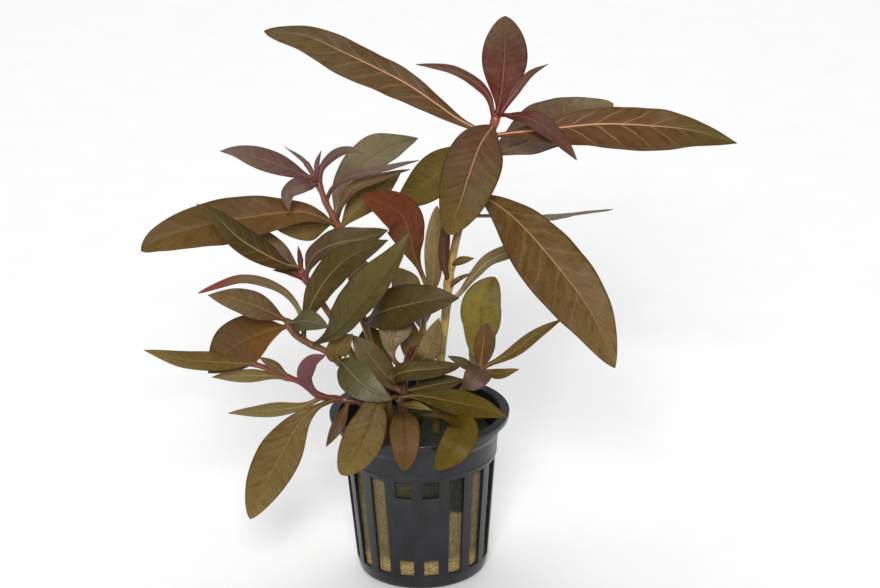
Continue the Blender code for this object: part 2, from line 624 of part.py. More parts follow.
def outer_radius(height):
    """The pot body's outer radius at a height between its rounded foot and its collar."""
    share = (height - FOOT_RISE_HEIGHT) / (COLLAR_FOOT - FOOT_RISE_HEIGHT)
    return FOOT_RISE_RADIUS + (BODY_RADIUS - FOOT_RISE_RADIUS) * share


def pot_profile():
    """The pot's section: out over the lip, down the outside, and up the inside."""
    lip_inner = RIM_RADIUS - LIP_WIDTH
    under_lip = POT_TOP - LIP_DROP
    inside_foot = FOOT_RISE_RADIUS - WALL
    return [
        (lip_inner, POT_TOP - LIP_INNER_ROUND),
        (lip_inner + LIP_INNER_ROUND, POT_TOP),
        (RIM_RADIUS - LIP_ROUND, POT_TOP),
        (RIM_RADIUS, POT_TOP - LIP_ROUND),
        (RIM_RADIUS, under_lip),
        (COLLAR_RADIUS + COLLAR_FLARE, under_lip),
        (COLLAR_RADIUS, under_lip - COLLAR_FLARE),
        (COLLAR_RADIUS - COLLAR_TAPER, COLLAR_FOOT + COLLAR_STEP),
        (BODY_RADIUS, COLLAR_FOOT),
        (FOOT_RISE_RADIUS, FOOT_RISE_HEIGHT),
        (FOOT_RADIUS + FOOT_ROUND, FOOT_ROUND),
        (FOOT_RADIUS, 0.0),
        (0.0, 0.0),
        (0.0, FLOOR),
        (inside_foot - INSIDE_ROUND, FLOOR),
        (inside_foot, FLOOR + INSIDE_ROUND),
        (BODY_RADIUS - WALL, COLLAR_FOOT),
        (lip_inner, POT_TOP - LIP_INNER_ROUND),
    ]


def slot_spans(column):
    """The heights between which a column is open: one tall slot or two small windows."""
    if column in PANEL_COLUMNS:
        return [(SLOT_FOOT, SLOT_FOOT + WINDOW_HEIGHT),
                (SLOT_HEAD - WINDOW_HEIGHT, SLOT_HEAD)]
    return [(SLOT_FOOT, SLOT_HEAD)]


def slot_cutter(column, foot, head):
    """A tapered block through the pot's wall at one column."""
    work = bmesh.new()
    bmesh.ops.create_cube(work, size=1.0)
    for vertex in work.verts:
        height = head if vertex.co.z > 0 else foot
        radius = outer_radius(height)
        half = SLOT_WIDTH / 2 * radius / BODY_RADIUS
        vertex.co = Vector((half if vertex.co.x > 0 else -half,
                            -radius + SLOT_DEPTH * vertex.co.y, height))
    angle = (column + 0.5) * SLOT_PITCH + SLOT_PHASE
    bmesh.ops.rotate(work, verts=work.verts, matrix=Matrix.Rotation(angle, 3, "Z"))
    mesh = bpy.data.meshes.new("slot")
    work.to_mesh(mesh)
    work.free()
    cutter = bpy.data.objects.new("slot_cutter", mesh)
    CUTTERS.objects.link(cutter)
    cutter.hide_render = True
    cutter.display_type = "WIRE"
    return cutter


def build_pot():
    """The net pot with its slots cut."""
    pot = turned("net_pot", pot_profile(), "pot_plastic", POT_STEPS)
    last = SLOT_COLUMNS // 2
    for column in range(-last, last + 1):
        for foot, head in slot_spans(column):
            combine(pot, slot_cutter(column, foot, head), "DIFFERENCE")


def build_wool():
    """The plug of rock wool, a finger's gap under the rim and clear of the pot's wall."""
    low = FLOOR + GAP
    foot = FOOT_RISE_RADIUS - WALL - WOOL_PLAY
    profile = [
        (0.0, WOOL_TOP),
        (WOOL_TOP_RADIUS - WOOL_EDGE, WOOL_TOP),
        (WOOL_TOP_RADIUS, WOOL_TOP - WOOL_EDGE),
        (foot, FOOT_RISE_HEIGHT),
        (foot - WOOL_FOOT_ROUND, low),
        (0.0, low),
    ]
    turned("rock_wool", profile, "wool", WOOL_STEPS)


def build_plant():
    """The stems with their buds, and the leaves."""
    bearers = {}
    for stem in STEMS:
        bearers[stem.name] = (stem, stem_object(stem))
    for leaf in LEAVES:
        separate_leaf(leaf, bearers[leaf.stem][0])
    for bud in BUDS:
        grown_bud(bud, *bearers[bud.stem])


for thing in list(bpy.data.objects):
    bpy.data.objects.remove(thing)
PLANT = bpy.data.collections.new("potted_ludwigia_glandulosa")
CUTTERS = bpy.data.collections.new("cutters")
bpy.context.scene.collection.children.link(PLANT)
bpy.context.scene.collection.children.link(CUTTERS)
build_pot()
build_wool()
build_plant()
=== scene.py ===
"""Looks of the potted Ludwigia glandulosa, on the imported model's frame."""

import json
import math
import random
from collections import namedtuple

import bmesh
import bpy
import numpy as np
from mathutils import Matrix, Vector

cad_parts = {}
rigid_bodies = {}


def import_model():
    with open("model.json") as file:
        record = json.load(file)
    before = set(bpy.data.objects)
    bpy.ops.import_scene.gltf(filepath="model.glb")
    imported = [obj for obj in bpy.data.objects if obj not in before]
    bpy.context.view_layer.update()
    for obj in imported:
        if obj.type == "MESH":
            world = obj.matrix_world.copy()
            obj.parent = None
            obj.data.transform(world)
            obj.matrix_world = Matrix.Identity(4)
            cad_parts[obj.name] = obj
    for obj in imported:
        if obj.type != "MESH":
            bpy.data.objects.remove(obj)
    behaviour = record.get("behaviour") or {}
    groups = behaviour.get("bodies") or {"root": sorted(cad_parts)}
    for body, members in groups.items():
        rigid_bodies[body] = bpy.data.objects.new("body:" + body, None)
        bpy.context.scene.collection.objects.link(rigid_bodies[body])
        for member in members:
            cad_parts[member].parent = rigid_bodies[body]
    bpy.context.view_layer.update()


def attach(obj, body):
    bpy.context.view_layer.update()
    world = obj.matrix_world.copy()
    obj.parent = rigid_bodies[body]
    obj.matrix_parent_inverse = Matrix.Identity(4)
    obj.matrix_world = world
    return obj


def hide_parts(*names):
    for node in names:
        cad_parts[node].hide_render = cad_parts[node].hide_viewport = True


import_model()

MM = 0.001

# The camera stands where the photograph was taken from, about a metre off and looking
# 21.5 degrees down. A place on the plant is a sight point: across and down in photo
# pixels, and how many millimetres it lies in front of the pot's axis.
PHOTO_WIDTH = 880.0
PHOTO_MIDDLE = (440.0, 294.0)
POT_FOOT = (423.0, 562.0)
FOCAL_PIXELS = 3270.0
EYE_DISTANCE = 1.015
EYE_PITCH = math.radians(21.5)
EYE_ROLL = math.radians(-1.2)
FILM_WIDTH = 36.0
# The viewer's directions ahead, right and up.
AHEAD = Vector((0.0, math.cos(EYE_PITCH), -math.sin(EYE_PITCH)))
level = Vector((1.0, 0.0, 0.0))
above = level.cross(AHEAD)
RIGHT = level * math.cos(EYE_ROLL) + above * math.sin(EYE_ROLL)
UP = above * math.cos(EYE_ROLL) - level * math.sin(EYE_ROLL)


def ray(across, down):
    """The direction in which the viewer sees a photo pixel."""
    aside = (across - PHOTO_MIDDLE[0]) / FOCAL_PIXELS
    above = (PHOTO_MIDDLE[1] - down) / FOCAL_PIXELS
    return AHEAD + RIGHT * aside + UP * above


EYE = -EYE_DISTANCE * ray(*POT_FOOT)


def sighted(across, down, forward):
    """The point seen at a photo pixel, so many millimetres in front of the pot's axis."""
    direction = ray(across, down)
    reach = (-forward * MM - EYE.y) / direction.y
    return EYE + direction * reach


def linked(name, data):
    """A new object of the scene that shows this data."""
    thing = bpy.data.objects.new(name, data)
    bpy.context.scene.collection.objects.link(thing)
    return thing


lens = bpy.data.cameras.new("camera")
lens.sensor_fit = "HORIZONTAL"
lens.sensor_width = FILM_WIDTH
lens.lens = FOCAL_PIXELS / PHOTO_WIDTH * FILM_WIDTH
lens.clip_start = 0.05
camera = linked("camera", lens)
turn = Matrix((RIGHT, UP, -AHEAD)).transposed()
camera.matrix_world = Matrix.Translation(EYE) @ turn.to_4x4()
bpy.context.scene.camera = camera

# Net pot: one moulded cup of wet black plastic. It has a flared lip, a smooth collar and
# 17 columns of slots; two columns in front are small windows over and under a bare panel.
POT_TOP = 51.5 * MM
RIM_RADIUS = 27.5 * MM
LIP_WIDTH = 3.2 * MM
LIP_DROP = 2.2 * MM
COLLAR_RADII = (25.2 * MM, 24.9 * MM, 24.0 * MM)
COLLAR_FOOT = 43.6 * MM
LEDGE_HEIGHT = 38.6 * MM
BODY_RADIUS = 23.5 * MM
FOOT_RADIUS = 18.4 * MM
FOOT_RISE_HEIGHT = 4.0 * MM
FOOT_RISE_RADIUS = 20.2 * MM
WALL = 1.0 * MM
FLOOR = 1.4 * MM
MOULD_ROUNDING = 0.45 * MM
ROUNDED_CORNERS = (1, 2, 3, 4, 5, 6, 7, 8, 10, 11, 12, 17)
CUT_ROUNDING = 0.18 * MM
SLOT_COLUMNS = 17
SLOT_PITCH = math.tau / SLOT_COLUMNS
SLOT_PHASE = math.radians(-3.0)
SLOT_WIDTH = 5.2 * MM
SLOT_FOOT = 5.0 * MM
SLOT_HEAD = 37.4 * MM
SLOT_CUT_DEPTH = 8.0 * MM
WINDOW_HEIGHT = 5.4 * MM
POT_STEPS = 204
# The columns' numbers, from the one left of the panel's middle round to its right.
COLUMNS = [k if k < 9 else k - SLOT_COLUMNS for k in range(SLOT_COLUMNS)]
PANEL_COLUMNS = (-1, 0)


def linear(red, green, blue, depth=1.0):
    """A colour of 0 to 255 as the shader's linear colour, darkened by depth."""
    out = []
    for value in (red, green, blue):
        share = value / 255
        low = share <= 0.04045
        out.append((share / 12.92 if low else ((share + 0.055) / 1.055) ** 2.4) * depth)
    return (*out, 1.0)


class Nodes:
    """A short way to write a material's node tree, its colour built up in coats."""

    def __init__(self, name):
        self.material = bpy.data.materials.new(name)
        self.material.use_nodes = True
        self.tree = self.material.node_tree
        self.shader = self.tree.nodes["Principled BSDF"]
        self.colour = None

    def put(self, socket, value):
        """Links a socket to another or sets its constant."""
        if isinstance(value, bpy.types.NodeSocket):
            self.tree.links.new(value, socket)
        else:
            socket.default_value = value

    def node(self, kind, inputs=(), **settings):
        made = self.tree.nodes.new(kind)
        for key, value in settings.items():
            setattr(made, key, value)
        for key, value in dict(inputs).items():
            self.put(made.inputs[key], value)
        return made

    def math(self, operation, *values):
        made = self.node("ShaderNodeMath", enumerate(values), operation=operation)
        return made.outputs[0]

    def times(self, a, b):
        return self.math("MULTIPLY", a, b)

    def plus(self, a, b):
        return self.math("ADD", a, b)

    def within(self, value, low, high):
        """0 below low, 1 above high, smooth between; low may be the larger."""
        inputs = {"Value": value, "From Min": low, "From Max": high}
        made = self.node("ShaderNodeMapRange", inputs, interpolation_type="SMOOTHSTEP")
        return made.outputs["Result"]

    def mix(self, share, a, b):
        inputs = {0: share, 6: a, 7: b}
        return self.node("ShaderNodeMix", inputs, data_type="RGBA").outputs[2]

    def coat(self, tone, share, strength=1.0):
        """Lays a tone over the colour so far, where share is 1 and by its strength."""
        if strength != 1.0:
            share = self.times(share, strength)
        self.colour = self.mix(share, self.colour, tone)

    def noise(self, scale, detail=2.0, vector=None, rough=0.5):
        inputs = {"Scale": scale, "Detail": detail, "Roughness": rough}
        inputs["Vector"] = self.place() if vector is None else vector
        return self.node("ShaderNodeTexNoise", inputs).outputs[0]

    def place(self):
        """The point's own coordinates in metres."""
        return self.node("ShaderNodeTexCoord").outputs["Object"]

    def uv(self, name):
        return self.node("ShaderNodeUVMap", uv_map=name).outputs[0]

    def parts(self, vector):
        """A vector's three numbers."""
        return self.node("ShaderNodeSeparateXYZ", {0: vector}).outputs

    def stretched(self, x, y, z):
        """The coordinates scaled along each axis."""
        inputs = {"Vector": self.place(), "Scale": (x, y, z)}
        return self.node("ShaderNodeMapping", inputs).outputs["Vector"]

    def bump(self, height, distance, strength):
        inputs = {"Height": height, "Distance": distance, "Strength": strength}
        made = self.node("ShaderNodeBump", inputs)
        self.put(self.shader.inputs["Normal"], made.outputs[0])

    def finish(self, **inputs):
        """The material, with its colour and these values in its shader."""
        self.put(self.shader.inputs["Base Color"], self.colour)
        for key, value in inputs.items():
            self.put(self.shader.inputs[key.replace("_", " ")], value)
        return self.material


def mesh_object(name, verts, faces, materials, smooth=True):
    """An object with these vertices, faces and materials."""
    mesh = bpy.data.meshes.new(name)
    mesh.from_pydata([tuple(v) for v in verts], [], faces)
    for material in materials:
        mesh.materials.append(material)
    mesh.polygons.foreach_set("use_smooth", [smooth] * len(mesh.polygons))
    return linked(name, mesh)


def turned(name, profile, steps, material):
    """A turned solid: a closed profile of (radius, height) spun about Z."""
    mesh = bpy.data.meshes.new(name)
    work = bmesh.new()
    ring = [work.verts.new((radius, 0.0, height)) for radius, height in profile]
    for a, b in zip(ring, ring[1:]):
        work.edges.new((a, b))
    work.to_mesh(mesh)
    work.free()
    mesh.materials.append(material)
    thing = linked(name, mesh)
    spin = thing.modifiers.new("spin", "SCREW")
    spin.angle = math.tau
    spin.steps = spin.render_steps = steps
    spin.use_merge_vertices = True
    spin.merge_threshold = 0.00002
    spin.use_normal_calculate = True
    return thing


def applied(thing):
    """Makes the object's modifiers part of its mesh."""
    bpy.context.view_layer.update()
    seen = thing.evaluated_get(bpy.context.evaluated_depsgraph_get())
    mesh = bpy.data.meshes.new_from_object(seen)
    thing.modifiers.clear()
    thing.data = mesh


def rounded(points, radius, corners, steps=4):
    """The profile with the numbered corners rounded off."""
    out = []
    for i, here in enumerate(points):
        if i not in corners:
            out.append(here)
            continue
        here = Vector(here)
        before, after = Vector(points[i - 1]), Vector(points[i + 1])
        start = here + (before - here).normalized() * radius
        end = here + (after - here).normalized() * radius
        for k in range(steps + 1):
            t = k / steps
            spot = start.lerp(here, t).lerp(here.lerp(end, t), t)
            out.append((spot.x, spot.y))
    return out


def outer_radius(height):
    """The pot body's outer radius at a height between its foot and its collar."""
    share = (height - FOOT_RISE_HEIGHT) / (COLLAR_FOOT - FOOT_RISE_HEIGHT)
    return FOOT_RISE_RADIUS + (BODY_RADIUS - FOOT_RISE_RADIUS) * share


def pot_profile():
    """The pot's section: out over the lip, down the outside, and up the inside."""
    lip_inner = RIM_RADIUS - LIP_WIDTH
    under_lip = POT_TOP - LIP_DROP
    ledge = outer_radius(LEDGE_HEIGHT)
    inside_foot = FOOT_RISE_RADIUS - WALL
    points = [
        (lip_inner, POT_TOP - 1.0 * MM),
        (lip_inner + 0.3 * MM, POT_TOP),
        (RIM_RADIUS, POT_TOP),
        (RIM_RADIUS - 0.3 * MM, under_lip),
        (COLLAR_RADII[0], under_lip - 0.4 * MM),
        (COLLAR_RADII[1], POT_TOP - 5.0 * MM),
        (COLLAR_RADII[2], POT_TOP - 6.4 * MM),
        (ledge + 0.35 * MM, LEDGE_HEIGHT + 0.7 * MM),
        (ledge + 0.55 * MM, LEDGE_HEIGHT),
        (ledge + 0.1 * MM, LEDGE_HEIGHT - 0.3 * MM),
        (FOOT_RISE_RADIUS, FOOT_RISE_HEIGHT),
        (FOOT_RADIUS + 0.9 * MM, 1.0 * MM),
        (FOOT_RADIUS, 0.0),
        (0.0, 0.0),
        (0.0, FLOOR),
        (inside_foot - 1.0 * MM, FLOOR),
        (inside_foot, 3.0 * MM),
        (BODY_RADIUS - WALL, COLLAR_FOOT),
        (lip_inner, POT_TOP - 1.0 * MM),
    ]
    return rounded(points, MOULD_ROUNDING, ROUNDED_CORNERS)


def slot_block(work, column, foot, head):
    """A tapered block through the pot's wall at one column."""
    cube = bmesh.ops.create_cube(work, size=1.0)["verts"]
    for vertex in cube:
        height = head if vertex.co.z > 0 else foot
        radius = outer_radius(height)
        half = SLOT_WIDTH / 2 * radius / BODY_RADIUS
        vertex.co = Vector((half if vertex.co.x > 0 else -half,
                            -radius + SLOT_CUT_DEPTH * vertex.co.y, height))
    angle = (column + 0.5) * SLOT_PITCH + SLOT_PHASE
    bmesh.ops.rotate(work, verts=cube, matrix=Matrix.Rotation(angle, 3, "Z"))


def slot_spans(column):
    """The heights between which a column is open."""
    if column in PANEL_COLUMNS:
        return [(SLOT_FOOT, SLOT_FOOT + WINDOW_HEIGHT),
                (SLOT_HEAD - WINDOW_HEIGHT, SLOT_HEAD)]
    return [(SLOT_FOOT, SLOT_HEAD)]


def pot_material():
    """Wet black plastic, blue-grey in the light, with dried film and faint rings."""
    n = Nodes("pot_plastic_wet")
    film = n.noise(160.0, 3.0)
    streaks = n.noise(1.0, 3.0, n.stretched(420.0, 420.0, 60.0))
    rings = n.noise(1.0, 1.0, n.stretched(8.0, 8.0, 900.0))
    n.colour = n.mix(n.within(film, 0.4, 0.7), linear(20, 21, 24), linear(30, 31, 35))
    n.coat(linear(14, 14, 16), n.within(streaks, 0.58, 0.72))
    n.bump(n.plus(n.times(rings, 0.5), streaks), 0.12 * MM, 0.6)
    return n.finish(Roughness=n.math("MULTIPLY_ADD", film, 0.24, 0.3), Coat_Weight=0.25,
                    Coat_Roughness=0.06, Specular_IOR_Level=0.3)


def build_pot():
    """The cup, its slots cut through and its cut edges softened."""
    pot = turned("pot", pot_profile(), POT_STEPS, pot_material())
    work = bmesh.new()
    for column in COLUMNS:
        for foot, head in slot_spans(column):
            slot_block(work, column, foot, head)
    mesh = bpy.data.meshes.new("slots")
    work.to_mesh(mesh)
    work.free()
    cutter = linked("slots", mesh)
    cut = pot.modifiers.new("slots", "BOOLEAN")
    cut.operation = "DIFFERENCE"
    cut.solver = "EXACT"
    cut.object = cutter
    edge = pot.modifiers.new("edges", "BEVEL")
    edge.width = CUT_ROUNDING
    edge.segments = 2
    edge.limit_method = "ANGLE"
    edge.angle_limit = math.radians(50)
    applied(pot)
    bpy.data.objects.remove(cutter)
    pot.data.polygons.foreach_set("use_smooth", [True] * len(pot.data.polygons))
    pot.data.set_sharp_from_angle(angle=math.radians(38))
    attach(pot, "root")
    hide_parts("net_pot")


build_pot()

# Rock wool: one plug of mineral fibre, tan where it is dry at the slots, dark green with
# algae and painted shade on top. Loose fibres stand off it, and bulge out of the small
# windows.
WOOL_TOP = 44.5 * MM
WOOL_STEPS = 150
WOOL_ROWS = 60
WOOL_CAP_RINGS = 12
WOOL_LUMP = 0.13 * MM
WOOL_EDGE = 0.9 * MM
WOOL_GAP = 0.35 * MM
WOOL_SEED = 7
FIBRES = 5200
FIBRE_SEED = 11
FIBRE_RADIUS = 0.035 * MM
FIBRE_LIFT = 0.16
# In millimetres: how deep the wool's top is pitted, how deep the loose fibres are rooted
# and how long they are.
TOP_PITS = 0.35
FIBRE_ROOT = 0.3
TOP_FIBRES = (2.0, 5.0)
SLOT_FIBRES = (0.8, 2.0)
# How far the fibres spread to either side of a slot's middle, in radians.
SLOT_SPREAD = 0.1
# Where one slot is dark and wet: its left and right side, and its lowest point.
WET_SIDE = (7.6 * MM, 13.4 * MM)
WET_FOOT = 29.5 * MM
# How far the small windows reach to either side, and over what width the wet stain and
# the painted shade behind the windows fade.
WINDOWS_SIDE = 8.0 * MM
STAIN_AND_SHADE_FADE = 1.5 * MM


def wool_radius(height):
    """The plug's radius at a height, just inside the pot's wall."""
    return outer_radius(max(height, FOOT_RISE_HEIGHT)) - WALL - WOOL_GAP


def painted_window_shade(n, height, span, left, right):
    """Paints shade on the felt behind the front's upper windows, in olive tones, darker
    on the right.
    """
    aside, back, _ = n.parts(n.place())
    beside = n.within(n.math("ABSOLUTE", aside), WINDOWS_SIDE + STAIN_AND_SHADE_FADE, WINDOWS_SIDE)
    front = n.within(back, 0.0, -2.0 * MM)
    n.coat(n.mix(n.within(aside, -1.0 * MM, 2.0 * MM), linear(*left), linear(*right)),
           n.times(n.times(n.within(height, *span), beside), front))


def wool_material():
    """Fibrous felt: tan, olive in patches, dark where one slot is wet, near black-green
    on top with algae and painted shade, painted shade behind the upper windows and
    painted highlights at the slots' feet.
    """
    n = Nodes("wool_fibrous")
    patches = n.noise(90.0, 3.0)
    fibre = n.noise(1.0, 5.0, n.stretched(2600.0, 2600.0, 900.0), 0.65)
    grain = n.noise(2400.0, 4.0, rough=0.7)
    aside, back, height = n.parts(n.place())
    tan, pale = linear(104, 94, 58), linear(134, 122, 82)
    n.colour = n.mix(n.within(fibre, 0.35, 0.65), tan, pale)
    n.coat(linear(96, 92, 56), n.within(patches, 0.5, 0.68))
    ragged = n.plus(height, n.times(patches, 12.0 * MM))
    # Painted shade: the felt behind the upper windows goes dark olive.
    painted_window_shade(n, ragged, (30.0 * MM, 36.0 * MM), (64, 61, 34), (42, 44, 24))
    wet = n.times(n.within(aside, WET_SIDE[0], WET_SIDE[0] + STAIN_AND_SHADE_FADE),
                  n.within(aside, WET_SIDE[1] + STAIN_AND_SHADE_FADE, WET_SIDE[1]))
    wet = n.times(wet, n.within(ragged, WET_FOOT, WET_FOOT + 2.0 * MM))
    n.coat(n.mix(n.within(grain, 0.55, 0.7), linear(26, 28, 22), linear(84, 92, 80)),
           n.times(wet, n.within(back, 0.0, -2.0 * MM)))
    # Painted shade over algae: the top goes near black-green, as in the shadow of the rim
    # and leaves.
    n.coat(linear(36, 42, 22), n.within(height, 42.5 * MM, 44.2 * MM))
    # Painted highlights: the felt bulging at the slots' feet is speckled pale, near
    # white.
    n.coat(n.mix(n.within(grain, 0.4, 0.6), linear(120, 92, 50), linear(206, 184, 122)),
           n.within(height, 11.0 * MM, 7.0 * MM))
    n.bump(n.plus(fibre, grain), 0.6 * MM, 0.9)
    return n.finish(Roughness=0.85)


def band(start, other, count):
    """The faces between two rings of vertices that start at these numbers."""
    ends = [(k, (k + 1) % count) for k in range(count)]
    return [(start + k, start + turn, other + turn, other + k) for k, turn in ends]


def build_wool():
    """The plug as one lumpy closed surface."""
    rng = np.random.default_rng(WOOL_SEED)
    lumps = rng.normal(size=(WOOL_ROWS + 1, WOOL_STEPS)) * WOOL_LUMP
    verts, faces = [], []
    low = FLOOR + 0.3 * MM
    for i in range(WOOL_ROWS + 1):
        height = low + (WOOL_TOP - low) * i / WOOL_ROWS
        edge = min(i, WOOL_ROWS - i) / 2
        inset = WOOL_EDGE * max(0.0, 1.0 - edge) ** 2
        for k in range(WOOL_STEPS):
            angle = math.tau * k / WOOL_STEPS
            radius = wool_radius(height) - inset - abs(lumps[i, k])
            verts.append((radius * math.cos(angle), radius * math.sin(angle), height))
    for row, height, sag in ((0, low, 0), (WOOL_ROWS, WOOL_TOP, 1)):
        for j in range(1, WOOL_CAP_RINGS):
            share = 1 - j / WOOL_CAP_RINGS
            for k in range(WOOL_STEPS):
                x, y, _ = verts[row * WOOL_STEPS + k]
                drop = abs(rng.normal()) * TOP_PITS * MM * sag
                verts.append((x * share, y * share, height - drop))
        verts.append((0.0, 0.0, height))
    for i in range(WOOL_ROWS):
        faces += band(i * WOOL_STEPS, (i + 1) * WOOL_STEPS, WOOL_STEPS)
    base = (WOOL_ROWS + 1) * WOOL_STEPS
    for cap in (0, 1):
        start = WOOL_ROWS * WOOL_STEPS if cap else 0
        tip = base + (WOOL_CAP_RINGS - 1) * WOOL_STEPS
        for other in range(base, tip, WOOL_STEPS):
            quads = band(start, other, WOOL_STEPS)
            faces += quads if cap else [face[::-1] for face in quads]
            start = other
        for k in range(WOOL_STEPS):
            a, b = start + k, start + (k + 1) % WOOL_STEPS
            faces.append((a, b, tip) if cap else (b, a, tip))
        base = tip + 1
    wool = mesh_object("wool", verts, faces, [wool_material()])
    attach(wool, "root")
    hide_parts("rock_wool")


def heading(path, i):
    """A path's direction at one of its points."""
    return (path[min(i + 1, len(path) - 1)] - path[max(i - 1, 0)]).normalized()


def tube_ring(point, side, other, radius, sides):
    """The vertices of a tube around one point of its path."""
    turns = [math.tau * k / sides for k in range(sides)]
    return [point + (side * math.cos(a) + other * math.sin(a)) * radius for a in turns]


def tube_faces(first, rings, sides):
    """The faces of a closed tube whose rings of vertices follow one another."""
    last = first + (rings - 1) * sides
    faces = []
    for i in range(first, last, sides):
        faces += band(i, i + sides, sides)
    faces.append(tuple(range(first + sides - 1, first - 1, -1)))
    faces.append(tuple(range(last, last + sides)))
    return faces


def fibre_points(rng, start, outward, length):
    """A short fibre that leaves the plug, turns and lies along it."""
    sideways = Vector((rng.gauss(0, 1), rng.gauss(0, 1), rng.gauss(0, 1))).normalized()
    points = [start - outward * FIBRE_ROOT * MM]
    for k in range(1, 4):
        t = k / 3
        lift = outward * math.sin(math.pi * t * 0.8) * length * FIBRE_LIFT
        points.append(start + sideways * length * t * 0.5 + lift)
    return points


def fibre_material():
    """Single fibres: pale gold, the low ones nearly white with painted highlights,
    painted shade behind the upper windows and on the green top.
    """
    n = Nodes("wool_fibre")
    shade = n.noise(420.0, 1.0)
    height = n.parts(n.place())["Z"]
    tan, pale = linear(106, 95, 60), linear(150, 136, 92)
    n.colour = n.mix(n.within(shade, 0.35, 0.65), tan, pale)
    # Painted shade: fibres behind the upper windows go dark olive.
    painted_window_shade(n, height, (22.0 * MM, 28.0 * MM), (84, 80, 48), (54, 56, 32))
    # Painted highlight: the low fibres go nearly white.
    n.coat(linear(200, 178, 118), n.within(height, 11.0 * MM, 7.0 * MM))
    # Painted shade over algae: fibres on the top go dark green.
    n.coat(linear(58, 66, 36), n.within(height, 40.0 * MM, 44.0 * MM))
    return n.finish(Roughness=0.5)


def build_fibres():
    """Loose fibres over the plug, more of them at the lowest ends of the slots."""
    rng = random.Random(FIBRE_SEED)
    verts, faces = [], []
    for i in range(FIBRES):
        if i % 5 == 0:
            angle = rng.uniform(0, math.tau)
            spread = math.sqrt(rng.uniform(0, 1)) * (wool_radius(WOOL_TOP) - 0.8 * MM)
            start = Vector((spread * math.cos(angle), spread * math.sin(angle), WOOL_TOP))
            outward = Vector((0.0, 0.0, 1.0))
            length = rng.uniform(*TOP_FIBRES) * MM
        else:
            column = rng.choice(COLUMNS)
            span = rng.choice(slot_spans(column))
            angle = (column + 0.5) * SLOT_PITCH + SLOT_PHASE
            angle += rng.uniform(-SLOT_SPREAD, SLOT_SPREAD)
            share = rng.random() ** (2.2 if column not in PANEL_COLUMNS else 1.0)
            height = span[0] + (span[1] - span[0]) * share
            outward = Vector((math.sin(angle), -math.cos(angle), 0.0))
            start = outward * wool_radius(height) + Vector((0.0, 0.0, height))
            length = rng.uniform(*SLOT_FIBRES) * MM
        points = fibre_points(rng, start, outward, length)
        faces += tube_faces(len(verts), len(points), 3)
        for k, point in enumerate(points):
            ahead = heading(points, k)
            side = ahead.orthogonal().normalized()
            verts += tube_ring(point, side, ahead.cross(side), FIBRE_RADIUS, 3)
    fibres = mesh_object("wool_fibres", verts, faces, [fibre_material()])
    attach(fibres, "root")
    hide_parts("rock_wool")


build_wool()
build_fibres()

# Stems: each grown as one piece from the wool up, thicker at the nodes where its leaves
# sit. They are yellow-green below and red near their tips, smooth and slightly ribbed.
ROOTED = 1.0 * MM
FOOT_RISE = 2.0 * MM
STEM_SIDES = 14
STEM_STEP = 0.9 * MM
STEM_RIBS = 7
NODE_SWELL = 0.22
NODE_LENGTH = 1.3 * MM
FATTEST_NODE = 1.4
TIP_LENGTH = 1.0 * MM
SEARCH_STEPS = 60
# A stem's foot is millimetres right and in front of the pot's axis. Its path is sight
# points, thick its radii at foot and tip in millimetres, low and high its colours there.
Stem = namedtuple("Stem", "name foot path thick paint low high")

STEMS = [
    Stem("stem_tall", (5, 0),
         [(441, 355, 0), (445, 320, 0), (449, 281, 0), (455, 245, -1), (463, 215, -1),
          (476, 175, -2), (489, 140, -2), (497, 114, -2)],
         (1.5, 1.0), "stem_yellow", (170, 146, 66), (136, 60, 40)),
    Stem("stem_upper_left", (-9, -4),
         [(385, 385, -4), (368, 335, -4), (352, 280, -3), (338, 228, -2), (327, 205, -2),
          (317, 180, -2)], (1.2, 0.9), "stem_red", (130, 100, 52), (124, 66, 52)),
    Stem("stem_mid_left", (-13, 2),
         [(365, 385, 2), (342, 335, 2), (320, 300, 3), (308, 283, 3), (299, 268, 3)],
         (1.2, 0.9), "stem_red", (130, 100, 50), (122, 56, 46)),
    Stem("stem_low_left", (-14, 9),
         [(352, 378, 10), (328, 353, 10), (308, 343, 10), (292, 331, 10), (287, 318, 10)],
         (1.2, 0.9), "stem_yellow", (112, 90, 40), (104, 62, 34)),
    Stem("stem_red_left", (-9, 15),
         [(366, 406, 14), (345, 400, 13), (320, 396, 14), (300, 382, 14), (280, 375, 14),
          (263, 367, 14), (250, 363, 14)],
         (1.2, 0.8), "stem_red", (88, 36, 26), (116, 50, 34)),
    Stem("stem_centre", (-3, 5), [(405, 398, 8), (404, 375, 8), (410, 352, 8)],
         (1.3, 1.0), "stem_red", (60, 36, 28), (88, 50, 40)),
    Stem("stem_rear", (0, -8), [(420, 395, -8), (422, 340, -8), (427, 284, -7)],
         (1.2, 0.9), "stem_yellow", (120, 100, 52), (150, 125, 70)),
    Stem("stem_short_right", (12, 2), [(456, 400, 1), (470, 382, 1), (482, 367, 2)],
         (1.2, 1.0), "stem_red", (100, 66, 42), (156, 96, 80)),
    Stem("stem_front", (-1, 13), [(404, 412, 16), (398, 396, 18)],
         (1.2, 1.0), "stem_red", (58, 38, 28), (70, 42, 32)),
]


def smooth_path(points, steps):
    """Points evenly spread along a smooth curve through the given ones."""
    ends = [points[0] * 2 - points[1], *points, points[-1] * 2 - points[-2]]
    fine = []
    per_span = 12
    for i in range(len(points) - 1):
        a, b, c, d = ends[i:i + 4]
        for k in range(per_span):
            t = k / per_span
            fine.append(0.5 * (2 * b + (c - a) * t + (2 * a - 5 * b + 4 * c - d) * t * t
                               + (3 * b - a - 3 * c + d) * t ** 3))
    fine.append(points[-1])
    return evenly_spaced(fine, steps)


